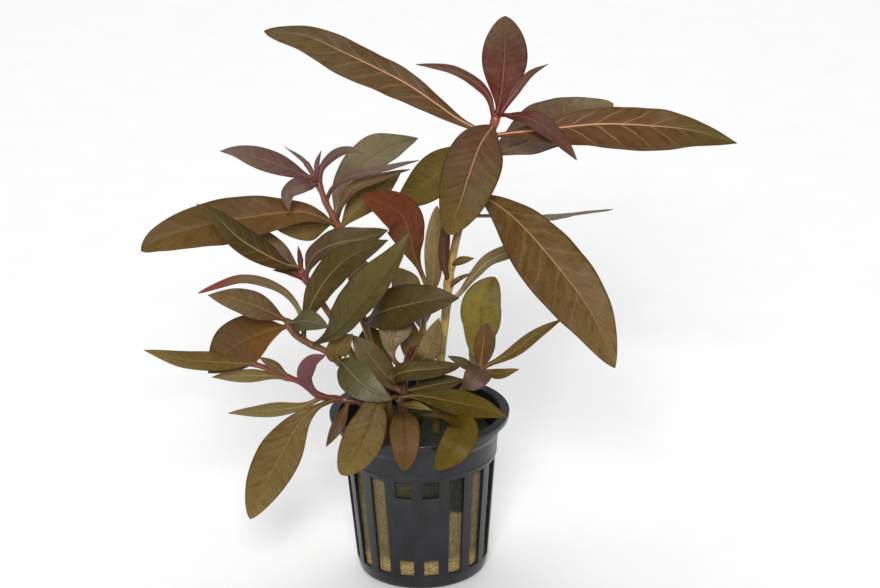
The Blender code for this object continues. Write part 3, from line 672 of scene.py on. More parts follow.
def evenly_spaced(fine, steps):
    """steps + 1 points at equal distances along a polyline."""
    lengths = [0.0]
    for a, b in zip(fine, fine[1:]):
        lengths.append(lengths[-1] + (b - a).length)
    spread = []
    i = 0
    for k in range(steps + 1):
        want = lengths[-1] * k / steps
        while i < len(fine) - 2 and lengths[i + 1] < want:
            i += 1
        share = (want - lengths[i]) / (lengths[i + 1] - lengths[i])
        spread.append(fine[i].lerp(fine[i + 1], share))
    return spread


def path_length(points):
    return sum((b - a).length for a, b in zip(points, points[1:]))


def stem_points(stem):
    """The stem's centre line, from just inside the wool up."""
    foot = Vector((stem.foot[0] * MM, -stem.foot[1] * MM, WOOL_TOP - ROOTED))
    upright = foot + Vector((0.0, 0.0, FOOT_RISE + ROOTED))
    return [foot, upright] + [sighted(*place) for place in stem.path]


def stem_radius(stem, share):
    low, high = stem.thick
    return (low + (high - low) * share) * MM


def nearest_on_stem(stem, place):
    """The stem's centre line, and which of its points is nearest to a place."""
    path = smooth_path(stem_points(stem), SEARCH_STEPS)
    return path, min(range(SEARCH_STEPS + 1), key=lambda k: (path[k] - place).length)


def node_places(stem):
    """Where the stem bears a leaf, as shares of its length."""
    return [nearest_on_stem(stem, sighted(*leaf.path[0]))[1] / SEARCH_STEPS
            for leaf in LEAVES + BUDS if leaf.stem == stem.name]


def stem_material(stem):
    """Smooth skin with fine ribs, its colour running from the foot to the tip, with
    painted shade near the wool.
    """
    n = Nodes(stem.name + "_skin")
    around, along, _ = n.parts(n.uv("blade"))
    patches = n.noise(260.0, 3.0)
    flecks = n.noise(900.0, 3.0, rough=0.6)
    up = n.plus(along, n.times(patches, 0.3))
    turn = n.plus(around, n.times(patches, 0.2))
    ribs = n.math("SINE", n.times(turn, math.tau * STEM_RIBS))
    n.colour = n.mix(n.within(up, 0.45, 1.1), linear(*stem.low), linear(*stem.high))
    n.coat(linear(210, 170, 120), n.within(ribs, 0.3, 1.0), 0.1)
    n.coat(linear(84, 40, 38), n.within(patches, 0.5, 0.7), 0.45)
    n.coat(linear(84, 44, 34), n.within(flecks, 0.5, 0.7), 0.3)
    # Painted shade: the stem darkens to the wool's dark green where it enters it under
    # the leaves.
    height = n.parts(n.place())["Z"]
    n.coat(linear(40, 38, 22), n.within(height, WOOL_TOP + 8.0 * MM, WOOL_TOP), 0.85)
    n.bump(n.plus(ribs, flecks), 0.08 * MM, 0.5)
    return n.finish(Roughness=0.42, Coat_Weight=0.1)


def tube(path, radii, sides):
    """Vertices, faces and UV coordinates of a tube that doesn't twist."""
    verts, spots = [], []
    side = heading(path, 0).orthogonal().normalized()
    for i, (point, radius) in enumerate(zip(path, radii)):
        ahead = heading(path, i)
        side = (side - ahead * side.dot(ahead)).normalized()
        verts += tube_ring(point, side, ahead.cross(side), radius, sides)
        spots += [(k / sides, i / (len(path) - 1)) for k in range(sides)]
    return verts, tube_faces(0, len(path), sides), spots


def set_uv(mesh, name, spots):
    """A UV map from one pair of numbers for each vertex."""
    layer = mesh.uv_layers.new(name=name)
    loops = np.empty(len(mesh.loops), dtype=np.int32)
    mesh.loops.foreach_get("vertex_index", loops)
    values = np.asarray(spots, dtype=np.float32)[loops]
    layer.data.foreach_set("uv", values.ravel())


# Leaves: each a thin lance-shaped blade with a pale midrib and curved side veins, held by
# a short stalk. Colours run from red at the stalk to purple-brown, olive or gold.
LEAF_DEPTH = 0.79
LEAF_VEIL = 0.007
LEAF_SEED = 100
BUD_SEED = 500
LEAF_ROOT = 0.4
LEAF_ROWS = 72
HALF_COLUMNS = 11
STALK_HALF = 0.75 * MM
TIP_HALF = 0.15 * MM
SMALLEST_TURN = 0.2
GUTTER = 0.04
GROOVE_DEPTH = 0.16 * MM
GROOVE_HALF = 0.35 * MM
RIB_DEPTH = 0.35 * MM
RIB_HALF = 0.45 * MM
CUSHION_HEIGHT = 0.08 * MM
RUFFLE_HEIGHT = 0.45 * MM
RUFFLE_LENGTH = 9.0 * MM
RUFFLE_SHARE = 0.07
RUFFLE_TURNS = 1.9
STALK_FLATNESS = 0.85
TIP_TAPER = 0.03
# In millimetres: a blade's thickness at its midrib, and how much thinner its margin is.
BLADE_THICKNESS = 0.26
MARGIN_THINNING = 0.16
# How far the side veins sweep towards the tip, and how they bend back at the margin.
VEIN_SWEEP = -0.16
VEIN_BEND = 0.03
# How fast a blade widens from its stalk, and how fast it narrows to its tip:
# a smaller power is rounder.
FORMS = {
    "lance": (1.25, 0.9),
    "full": (1.25, 0.75),
    "round": (1.25, 0.6),
    "oval": (0.8, 0.6),
    "stalked": (2.2, 0.7),
    "long_stalk": (4.0, 0.7),
}
TO_VIEWER = (0.0, -0.93, 0.37)
RAISED = (0.0, -0.75, 0.65)
UPWARD = (0.0, -0.5, 0.87)
FLAT = (0.0, -0.25, 0.97)

# A leaf's path is sight points, wide its half width in millimetres or that of its left
# and right side, face where its upper side looks, and peak where it is widest.
Leaf = namedtuple("Leaf", "stem name paint skin path wide face peak form",
                  defaults=(RAISED, 0.5, "lance"))
LEAVES, BUDS = [], []


def leaves_on(stem, *rows):
    """Leaves that are pieces of their own at their stem."""
    LEAVES.extend(Leaf(stem, *row) for row in rows)


def buds_on(stem, *rows):
    """Young and small leaves, grown into the stem that bears them and of its class."""
    BUDS.extend(Leaf(stem, row[0], None, *row[1:]) for row in rows)


leaves_on("stem_tall",
    ("leaf_top_upright", "leaf_purple", "purple", [(497, 114, -3), (501, 95, -5),
     (504, 66, -8), (505, 40, -9), (505, 16, -10)], (6.7, 6.8), TO_VIEWER, 0.58, "round"),
    ("leaf_top_droop", "leaf_purple", "purple", [(500, 114, 0), (528, 118, 5),
     (553, 134, 10), (577, 160, 14)], 2.7, (0.5, -0.5, 0.7)),
    ("leaf_right_long", "leaf_brown", "peach_vein", [(491, 139, 0), (529, 131, 1),
     (566, 127, 2), (600, 124, 3), (640, 125, 4), (690, 130, 5), (737, 143, 6)],
     (5.0, 7.7), RAISED, 0.58),
    ("leaf_right_back", "leaf_olive", "brown_olive", [(486, 156, -3), (526, 143, -12),
     (560, 123, -22), (613, 103, -35)], (8.4, 6.4), UPWARD, 0.5, "round"),
    ("leaf_left_long", "leaf_brown", "brown_long", [(490, 133, -3), (461, 121, -4),
     (431, 100, -5), (400, 80, -7), (341, 51, -9), (306, 36, -10), (264, 31, -11)],
     (6.7, 4.0), RAISED, 0.6, "round"),
    ("leaf_hanging_front", "leaf_purple", "purple_to_olive", [(491, 128, 0),
     (480, 145, 6), (468, 178, 12), (461, 200, 15), (448, 235, 17)], (8.7, 8.2),
     TO_VIEWER, 0.43, "oval"),
    ("leaf_behind_hanging", "leaf_olive", "olive", [(485, 154, -3), (462, 157, -6),
     (440, 172, -9), (418, 190, -11), (394, 206, -13)], 6.2),
    ("leaf_right_droop", "leaf_brown", "bronze", [(471, 190, 0), (512, 216, 10),
     (554, 262, 20), (592, 314, 27), (615, 368, 32)], (8.0, 10.7), RAISED, 0.52, "full"),
    ("leaf_right_thin", "leaf_green", "pale_grey", [(463, 214, -2), (500, 216, -12),
     (542, 219, -26), (576, 214, -38), (613, 209, -48)], 0.8, (0.0, 0.2, 0.98), 0.55),
    ("leaf_rear_right", "leaf_olive", "pale_tan", [(447, 300, -2), (460, 293, -5),
     (474, 275, -10), (492, 259, -16), (525, 248, -24), (575, 246, -36)], 2.3, UPWARD,
     0.6))
leaves_on("stem_short_right",
    ("leaf_short_upright", "leaf_gold", "gold", [(480, 364, 1), (477, 348, -2),
     (481, 325, -4), (482, 303, -6), (495, 277, -9)], 6.2, TO_VIEWER, 0.6, "round"),
    ("leaf_short_right", "leaf_olive", "gold_pale", [(482, 367, 3), (510, 354, 2),
     (536, 335, 3), (562, 319, 5)], 2.0),
    ("leaf_short_pink", "leaf_red", "pink_grey", [(481, 367, 3), (478, 374, 9),
     (471, 382, 11), (463, 388, 11)], 4.0, TO_VIEWER, 0.5, "oval"))
leaves_on("stem_rear",
    ("leaf_red_centre", "leaf_red", "tan_red", [(427, 284, -7), (419, 267, -5),
     (413, 251, -4), (410, 236, -2), (402, 216, 0), (385, 205, 2), (362, 197, 4)],
     (6.6, 5.8), RAISED, 0.66, "stalked"),
    ("leaf_pale_upright", "leaf_tan", "tan", [(426, 300, -6), (433, 280, -3),
     (434, 250, -2), (437, 206, -3)], 2.9, TO_VIEWER, 0.6, "oval"),
    ("leaf_rear_olive", "leaf_olive", "tan", [(423, 312, -7), (412, 298, -4),
     (404, 284, -2), (396, 267, 0)], 4.5, RAISED, 0.6))
leaves_on("stem_upper_left",
    ("leaf_back_olive", "leaf_green", "pale_green", [(333, 214, -4), (345, 190, -14),
     (364, 166, -22), (388, 149, -30), (418, 138, -37)], (6.6, 4.6), UPWARD, 0.65),
    ("leaf_purple_arched", "leaf_purple", "mauve", [(325, 203, -2), (333, 188, 1),
     (350, 177, 3), (383, 169, 4), (419, 160, 3)], 1.2, UPWARD),
    ("leaf_purple_lower", "leaf_purple", "brown", [(335, 220, -2), (343, 202, 1),
     (355, 187, 1), (378, 178, 0), (410, 169, -2)], 1.55, UPWARD),
    ("leaf_yellow_green", "leaf_green", "olive", [(338, 229, -3), (357, 208, -6),
     (378, 189, -9), (401, 172, -12)], 4.2))
leaves_on("stem_mid_left",
    ("leaf_arched_glossy", "leaf_green", "glossy_green", [(306, 279, 4), (309, 264, 6),
     (318, 252, 7), (337, 243, 8), (362, 238, 7), (388, 230, 6)], 3.9, UPWARD, 0.6))
leaves_on("stem_low_left",
    ("leaf_dark", "leaf_green", "green_dark", [(302, 341, 11), (305, 321, 9.5),
     (314, 299, 12), (329, 276, 15), (350, 257, 17), (388, 240, 18)], 4.6, RAISED, 0.6),
    ("leaf_big_centre", "leaf_green", "green", [(311, 351, 11), (334, 334, 18),
     (357, 311, 23), (380, 283, 26), (397, 258, 26), (410, 232, 24)], (7.6, 3.2)))
leaves_on("stem_upper_left",
    ("leaf_centre_right", "leaf_olive", "green_dark", [(364, 322, -3), (376, 314, 6),
     (398, 307, 11), (431, 300, 13), (459, 298, 13)], 6.0, RAISED, 0.55))
leaves_on("stem_centre",
    ("leaf_wet_left", "leaf_tan", "wet_brown", [(405, 370, 9), (394, 360, 11),
     (391, 345, 10), (395, 328, 8), (400, 312, 6)], (5.4, 5.2), TO_VIEWER, 0.82,
     "long_stalk"),
    ("leaf_wet_right", "leaf_tan", "wet_brown", [(406, 370, 9), (424, 358, 13),
     (432, 340, 13), (439, 318, 12)], 3.2, TO_VIEWER, 0.6))
leaves_on("stem_low_left",
    ("leaf_grey_green", "leaf_green", "grey_green", [(340, 364, 11), (345, 366, 15),
     (361, 383, 21), (377, 393, 23), (392, 400, 24)], 5.2, TO_VIEWER, 0.45))
leaves_on("stem_centre",
    ("leaf_olive_brown", "leaf_brown", "green_dark", [(403, 385, 9), (395, 376, 13),
     (409, 371, 16), (434, 369, 16), (460, 366, 14)], 3.0, RAISED, 0.5, "oval"),
    ("leaf_grey_olive", "leaf_green", "green_dark", [(405, 392, 9), (425, 387, 10),
     (445, 383, 10), (464, 380, 9)], 2.7, RAISED, 0.55))
leaves_on("stem_front",
    ("leaf_yellow_olive", "leaf_olive", "olive_yellow", [(400, 398, 18), (420, 396, 18),
     (454, 402, 16), (485, 409, 13), (507, 417, 11)], 3.8, RAISED, 0.55),
    ("leaf_over_rim_left", "leaf_gold", "speckled_tan", [(397, 399, 19), (378, 403, 22),
     (369, 425, 25), (358, 449, 27), (341, 475, 27)], 6.0, TO_VIEWER, 0.58, "round"),
    ("leaf_over_rim_middle", "leaf_brown", "orange_tan", [(400, 410, 16), (404, 421, 24),
     (405, 440, 29), (405, 456, 31), (404, 471, 31)], 4.5, TO_VIEWER, 0.5, "oval"),
    ("leaf_over_rim_right", "leaf_gold", "gold_deep", [(404, 412, 16), (420, 415, 12),
     (445, 417, 13), (463, 426, 23), (456, 445, 30), (436, 470, 31)], 4.9, TO_VIEWER,
     0.74, "long_stalk"))
leaves_on("stem_red_left",
    ("leaf_low_left_hanging", "leaf_gold", "gold_pale", [(334, 399, 14), (316, 408, 19),
     (299, 424, 22), (283, 451, 24), (264, 487, 26), (250, 519, 26)], (6.2, 7.0),
     TO_VIEWER, 0.56, "stalked"),
    ("leaf_low_left_flat", "leaf_olive", "straw", [(322, 398, 14), (300, 407, 15),
     (264, 411, 16), (228, 413, 17)], 2.0, UPWARD),
    ("leaf_left_reaching", "leaf_gold", "gold_pale", [(252, 363, 14), (215, 362, 19),
     (180, 359, 22), (144, 350, 24)], 2.9, RAISED, 0.45),
    ("leaf_left_tan", "leaf_tan", "straw", [(284, 377, 13), (262, 376, 14),
     (238, 376, 14), (212, 377, 14)], 2.0, UPWARD))
leaves_on("stem_upper_left",
    ("leaf_upper_left_purple", "leaf_purple", "mauve", [(316, 181, -2), (287, 168, 4),
     (258, 158, 7), (238, 152, 8), (220, 151, 9)], 3.3, RAISED, 0.55),
    ("leaf_upper_left_folded", "leaf_purple", "mauve", [(318, 185, -1), (302, 185, 5),
     (288, 194, 9), (289, 211, 10)], 2.5, (-0.3, -0.8, 0.5)),
    ("leaf_upper_left_long", "leaf_gold", "gold_brown", [(336, 226, -2), (320, 217, 2),
     (297, 212, 2), (250, 217, 3), (197, 227, 5), (160, 239, 7), (141, 251, 8)],
     (6.9, 6.5), RAISED, 0.58, "round"))
leaves_on("stem_mid_left",
    ("leaf_mid_left_green", "leaf_green", "green_brown", [(300, 266, 5), (276, 260, 12),
     (240, 239, 16), (216, 216, 19), (197, 204, 20)], 3.8),
    ("leaf_mid_left_brown", "leaf_brown", "brown", [(301, 270, 2), (283, 256, -2),
     (265, 240, -4), (246, 222, -6)], 3.1))
leaves_on("stem_low_left",
    ("leaf_low_left_brown", "leaf_brown", "brown", [(288, 321, 11), (265, 310, 13),
     (240, 301, 15), (208, 295, 17)], 4.0),
    ("leaf_low_left_broad", "leaf_gold", "rust_brown", [(290, 327, 11), (262, 333, 8),
     (232, 348, 5), (208, 373, 3)], (7.7, 7.1)),
    ("leaf_low_left_arched", "leaf_olive", "tan_arched", [(297, 334, 9), (300, 313, 8),
     (281, 290, 8), (244, 279, 8), (198, 293, 8)], 1.4, UPWARD, 0.6, "round"))
leaves_on("stem_tall",
    ("leaf_rear_high", "leaf_olive", "brown_olive", [(468, 198, -3), (471, 186, -12),
     (473, 168, -24), (474, 152, -36)], 5.0, FLAT))
leaves_on("stem_rear",
    ("leaf_rear_middle", "leaf_brown", "brown", [(423, 330, -9), (420, 312, -20),
     (414, 291, -34), (410, 281, -44)], 4.5, FLAT),
    ("leaf_rear_low", "leaf_gold", "tan", [(420, 372, -8), (413, 350, -4), (409, 330, -3),
     (409, 312, -3)], 3.4, TO_VIEWER, 0.55))
leaves_on("stem_short_right",
    ("leaf_rear_short", "leaf_olive", "olive", [(472, 380, 0), (480, 358, -14),
     (484, 332, -28), (486, 312, -42)], 4.0, FLAT))
buds_on("stem_tall",
    ("top_left_narrow", "purple_bright", [(496, 120, -2), (488, 96, -1), (473, 81, -2),
     (452, 70, -3), (430, 66, -4), (416, 64, -5)], 1.5, UPWARD),
    ("top_right_narrow", "purple_bright", [(496, 120, -2), (512, 96, -2), (529, 75, -5),
     (548, 64, -8)], 1.3, TO_VIEWER),
    ("node_olive", "olive", [(452, 262, 0), (460, 261, 3), (474, 258, 4)], 1.2),
    ("node_red", "brown", [(449, 284, 0), (459, 279, 3), (471, 273, 5)], 0.7),
    ("node_brown", "node_brown", [(446, 280, 0), (444, 262, 3), (445, 236, 4),
     (449, 206, 3)], 1.7, TO_VIEWER))
buds_on("stem_upper_left",
    ("upper_left_thin", "mauve", [(318, 184, -2), (305, 162, -7), (285, 147, -9)], 0.7,
     TO_VIEWER),
    ("upper_left_tiny", "mauve", [(317, 182, -2), (317, 164, -1), (321, 151, 0)], 0.75,
     TO_VIEWER),
    ("upper_left_right", "mauve", [(318, 183, -2), (322, 168, 0), (334, 155, 2),
     (349, 150, 3), (364, 153, 4)], 1.4, RAISED, 0.6),
    ("upper_left_under", "gold_pale", [(333, 221, -4), (318, 224, -5), (300, 226, -6),
     (272, 226, -6)], (4.8, 1.5), RAISED, 0.42))
buds_on("stem_mid_left",
    ("mid_left_tip", "red", [(300, 270, 2), (300, 257, 0), (298, 246, -1)], 0.8,
     TO_VIEWER),
    ("mid_left_low", "red", [(305, 279, 3), (289, 271, 4), (273, 270, 4)], 1.2))
buds_on("stem_low_left",
    ("low_left_right", "grey_green", [(289, 324, 10), (307, 321, 17), (329, 327, 20)],
     3.2),
    ("low_left_gold", "gold_pale", [(338, 364, 11), (336, 354, 13), (344, 343, 14),
     (353, 334, 14)], (3.5, 3.2), TO_VIEWER))
buds_on("stem_red_left",
    ("red_left_small", "brown", [(288, 378, 14), (274, 366, 16), (259, 357, 17)], 1.5),
    ("red_left_curl", "violet", [(316, 394, 14), (305, 378, 18), (311, 362, 20),
     (326, 355, 20)], 2.5, TO_VIEWER, 0.6),
    ("red_left_under", "purple_brown", [(349, 402, 13), (338, 425, 20), (326, 447, 22)],
     1.9, TO_VIEWER))
buds_on("stem_centre",
    ("centre_left", "streaked", [(404, 395, 8), (388, 378, 9), (368, 354, 10),
     (352, 335, 9)], (4.5, 4.3), RAISED, 0.55),
    ("centre_bud", "red", [(409, 358, 8), (412, 350, 11), (418, 345, 12)], 1.0,
     TO_VIEWER))
buds_on("stem_short_right",
    ("short_front", "pink", [(481, 368, 2), (483, 346, 5), (487, 323, 5)], 2.7, TO_VIEWER,
     0.6, "round"),
    ("short_low", "gold_pale", [(481, 370, 2), (499, 374, 8), (519, 369, 11)], 1.5),
    ("short_left", "grey_green", [(478, 371, 2), (463, 363, 6), (448, 356, 8)], 1.5))
buds_on("stem_front",
    ("front_tip", "gold_pale", [(401, 405, 17), (414, 405, 24), (432, 410, 27)], 1.2))
buds_on("stem_upper_left",
    ("rear_left", "brown", [(356, 296, -3), (360, 278, -16), (363, 258, -32)], 4.0, FLAT),
    ("rear_left_low", "green_pale", [(385, 386, -4), (377, 358, -8), (367, 326, -9)],
     (6.2, 5.6), TO_VIEWER, 0.6, "full"))

# The leaves' colours from stalk to tip and at the margin, the midrib's colour, how
# strongly the veins show, the side veins on each side, and how dull and bright it is.
Skin = namedtuple("Skin", "stalk low blade tip margin vein strength lines rough shine",
                  defaults=(0.46, 0.15))
SKINS = {
    "purple": Skin((112, 34, 24), (106, 42, 30), (98, 62, 48), (108, 86, 64),
        (72, 36, 30), (140, 98, 80), 0.5, 9, 0.48),
    "purple_bright": Skin((116, 44, 32), (112, 60, 48), (104, 72, 58), (102, 82, 62),
        (80, 40, 34), (148, 104, 86), 0.45, 7),
    "mauve": Skin((118, 66, 64), (110, 80, 76), (112, 88, 78), (114, 100, 86),
        (92, 54, 48), (140, 102, 90), 0.4, 7, 0.46, 0.2),
    "violet": Skin((128, 94, 92), (114, 72, 76), (114, 74, 78), (114, 74, 76),
        (84, 48, 52), (124, 84, 84), 0.25, 6, 0.46, 0.2),
    "streaked": Skin((134, 76, 58), (118, 92, 64), (108, 96, 64), (106, 94, 60),
        (76, 60, 34), (142, 112, 82), 0.6, 8, 0.42, 0.2),
    "rust_brown": Skin((112, 76, 34), (122, 86, 44), (108, 84, 58), (96, 70, 34),
        (76, 50, 24), (136, 100, 60), 0.4, 8),
    "straw": Skin((126, 104, 56), (130, 114, 66), (134, 120, 74), (134, 120, 84),
        (100, 80, 40), (160, 140, 96), 0.5, 7, 0.5),
    "peach_vein": Skin((112, 66, 46), (106, 72, 52), (104, 74, 42), (98, 84, 42),
        (66, 44, 22), (206, 150, 112), 1.0, 9, 0.48),
    "brown_olive": Skin((100, 68, 50), (98, 70, 50), (100, 76, 50), (124, 110, 78),
        (72, 50, 26), (136, 108, 74), 0.5, 9, 0.5),
    "brown_long": Skin((118, 80, 58), (102, 74, 48), (102, 80, 50), (104, 88, 58),
        (68, 46, 24), (200, 152, 114), 0.85, 10, 0.48),
    "gold_brown": Skin((112, 82, 56), (108, 76, 44), (100, 74, 36), (110, 86, 46),
        (74, 48, 22), (140, 106, 60), 0.6, 9),
    "purple_to_olive": Skin((112, 76, 64), (104, 74, 56), (96, 76, 38), (112, 90, 44),
        (70, 44, 22), (166, 120, 92), 0.8, 10, 0.48),
    "olive": Skin((120, 100, 54), (122, 102, 54), (114, 96, 50), (116, 96, 48),
        (66, 50, 18), (134, 112, 56), 0.5, 9, 0.48),
    "olive_yellow": Skin((70, 50, 26), (78, 66, 30), (94, 78, 30), (110, 92, 38),
        (66, 50, 18), (130, 108, 50), 0.5, 9, 0.44, 0.2),
    "bronze": Skin((108, 80, 46), (104, 78, 42), (108, 82, 44), (124, 102, 62),
        (72, 46, 20), (150, 118, 72), 0.95, 9),
    "pale_grey": Skin((118, 106, 88), (126, 116, 100), (130, 120, 104), (124, 112, 92),
        (100, 84, 62), (148, 138, 118), 0.3, 5, 0.5),
    "pale_tan": Skin((176, 166, 130), (140, 124, 86), (128, 108, 70), (128, 108, 72),
        (96, 72, 40), (176, 154, 106), 0.5, 7, 0.5),
    "gold": Skin((118, 92, 56), (132, 112, 56), (134, 118, 46), (106, 92, 32),
        (76, 60, 20), (84, 62, 22), 0.8, 8),
    # Its stalk is darkened with painted shade, where it runs under the leaf in front.
    "gold_deep": Skin((50, 46, 24), (94, 78, 30), (100, 82, 26), (98, 80, 26),
        (70, 52, 16), (74, 62, 26), 0.7, 8),
    "gold_pale": Skin((108, 84, 54), (110, 88, 50), (114, 94, 52), (132, 112, 68),
        (78, 56, 22), (138, 114, 58), 0.5, 8, 0.48),
    "speckled_tan": Skin((60, 46, 28), (96, 76, 42), (112, 92, 50), (126, 110, 60),
        (78, 56, 26), (82, 44, 26), 0.9, 8, 0.52),
    "orange_tan": Skin((88, 64, 34), (102, 76, 44), (106, 80, 46), (102, 76, 44),
        (78, 52, 22), (70, 42, 22), 0.8, 8, 0.5),
    "tan_red": Skin((142, 134, 94), (110, 80, 46), (116, 68, 46), (122, 72, 48),
        (80, 40, 22), (148, 94, 58), 0.6, 9),
    "tan": Skin((126, 106, 72), (136, 114, 76), (142, 120, 82), (146, 126, 88),
        (96, 72, 40), (156, 130, 84), 0.5, 7, 0.5),
    "tan_arched": Skin((170, 160, 104), (134, 124, 84), (122, 108, 76), (150, 66, 56),
        (96, 70, 44), (150, 136, 96), 0.3, 5),
    "grey_green": Skin((76, 66, 38), (96, 90, 56), (102, 98, 68), (94, 88, 60),
        (64, 54, 30), (130, 124, 90), 0.5, 8, 0.4, 0.2),
    "green": Skin((88, 74, 42), (92, 82, 46), (92, 82, 42), (98, 86, 46), (60, 50, 20),
        (66, 54, 22), 0.7, 9, 0.42, 0.2),
    "green_brown": Skin((110, 80, 64), (94, 70, 42), (80, 68, 38), (96, 84, 50),
        (58, 44, 20), (150, 128, 84), 0.9, 9),
    "green_dark": Skin((86, 70, 42), (94, 80, 44), (86, 74, 40), (90, 74, 44),
        (50, 38, 16), (140, 118, 66), 0.65, 9),
    "glossy_green": Skin((116, 76, 70), (102, 78, 64), (94, 82, 52), (90, 80, 44),
        (60, 44, 20), (150, 118, 82), 0.6, 8, 0.36, 0.25),
    "pale_green": Skin((116, 94, 68), (118, 96, 70), (124, 110, 82), (114, 102, 64),
        (84, 64, 34), (138, 118, 78), 0.4, 9, 0.48),
    "wet_brown": Skin((128, 74, 62), (98, 76, 48), (126, 106, 66), (122, 104, 62),
        (58, 40, 20), (150, 124, 72), 0.35, 8, 0.32, 0.25),
    "green_pale": Skin((92, 80, 44), (96, 88, 48), (102, 94, 50), (104, 94, 52),
        (60, 50, 22), (86, 74, 36), 0.6, 9, 0.42, 0.2),
    "brown": Skin((108, 72, 50), (110, 88, 62), (120, 100, 70), (120, 100, 70),
        (72, 44, 22), (142, 108, 70), 0.55, 8, 0.48),
    "purple_brown": Skin((96, 70, 42), (110, 82, 50), (104, 82, 58), (94, 74, 42),
        (60, 38, 18), (126, 92, 62), 0.5, 8),
    "red": Skin((112, 54, 44), (98, 58, 46), (94, 58, 44), (104, 72, 54), (80, 32, 20),
        (138, 76, 56), 0.4, 6),
    "node_brown": Skin((96, 58, 56), (86, 56, 40), (82, 56, 38), (96, 68, 46),
        (56, 34, 20), (120, 84, 60), 0.4, 6, 0.42, 0.2),
    "pink_grey": Skin((128, 108, 88), (126, 110, 90), (98, 78, 60), (94, 74, 54),
        (80, 52, 36), (150, 116, 92), 0.4, 7, 0.44, 0.2),
    "pink": Skin((160, 128, 106), (118, 88, 54), (104, 76, 40), (102, 76, 44),
        (90, 56, 30), (168, 128, 92), 0.5, 7, 0.44, 0.2),
}


def half_width(leaf, share, widest):
    """Half the blade's width at a share of its length, from a narrow stalk to the tip."""
    rise, fall = FORMS[leaf.form]
    if share < leaf.peak:
        swell = widest * math.sin(math.pi / 2 * share / leaf.peak) ** rise
        return (swell ** 4 + STALK_HALF ** 4) ** 0.25
    swell = math.cos(math.pi / 2 * (share - leaf.peak) / (1 - leaf.peak)) ** fall
    return max(TIP_HALF, widest * swell)


def blade_frame(path, i, face):
    """The blade's sideways and outward directions at one point of its path."""
    ahead = heading(path, i)
    outward = Vector(face)
    outward = (outward - ahead * outward.dot(ahead)).normalized()
    return ahead.cross(outward), outward


def seen_share(path, face):
    """How much of the blade's width shows to the viewer, from 0 edge-on to 1."""
    i = len(path) // 2
    side, outward = blade_frame(path, i, face)
    towards = (EYE - path[i]).normalized()
    ahead = outward.cross(side)
    plain = (towards - ahead * towards.dot(ahead)).normalized()
    return max(SMALLEST_TURN, abs(outward.dot(plain)))


def leaf_path(leaf, stem):
    """The leaf's midrib, from just inside the skin of its stem."""
    places = [sighted(*p) for p in leaf.path]
    line, i = nearest_on_stem(stem, places[0])
    axis, ahead = line[i], heading(line, i)
    toward = (places[1] - axis).normalized()
    outward = (toward - ahead * toward.dot(ahead)).normalized()
    places[0] = axis + outward * stem_radius(stem, i / SEARCH_STEPS) * LEAF_ROOT
    return smooth_path(places, LEAF_ROWS)


def blade_faces():
    """The faces of every blade's grid of points, and which of its two skins each has."""
    rows, columns = LEAF_ROWS + 1, 2 * HALF_COLUMNS + 1
    offset = rows * columns
    faces, slots = [], []
    for a in range(0, offset - columns, columns):
        for k in range(a, a + columns - 1):
            faces.append((k, k + 1, k + 1 + columns, k + columns))
            b = k + offset
            faces.append((b + columns, b + columns + 1, b + 1, b))
            slots += [0, 1]
        b = a + columns - 1
        faces.append((a, a + columns, a + columns + offset, a + offset))
        faces.append((b + offset, b + columns + offset, b + columns, b))
        slots += [0, 0]
    last = offset - columns
    for k in range(columns - 1):
        faces.append((k + 1, k, k + offset, k + 1 + offset))
        faces.append((last + k, last + k + 1, last + k + 1 + offset, last + k + offset))
        slots += [0, 0]
    return faces, slots


BLADE_FACES = blade_faces()


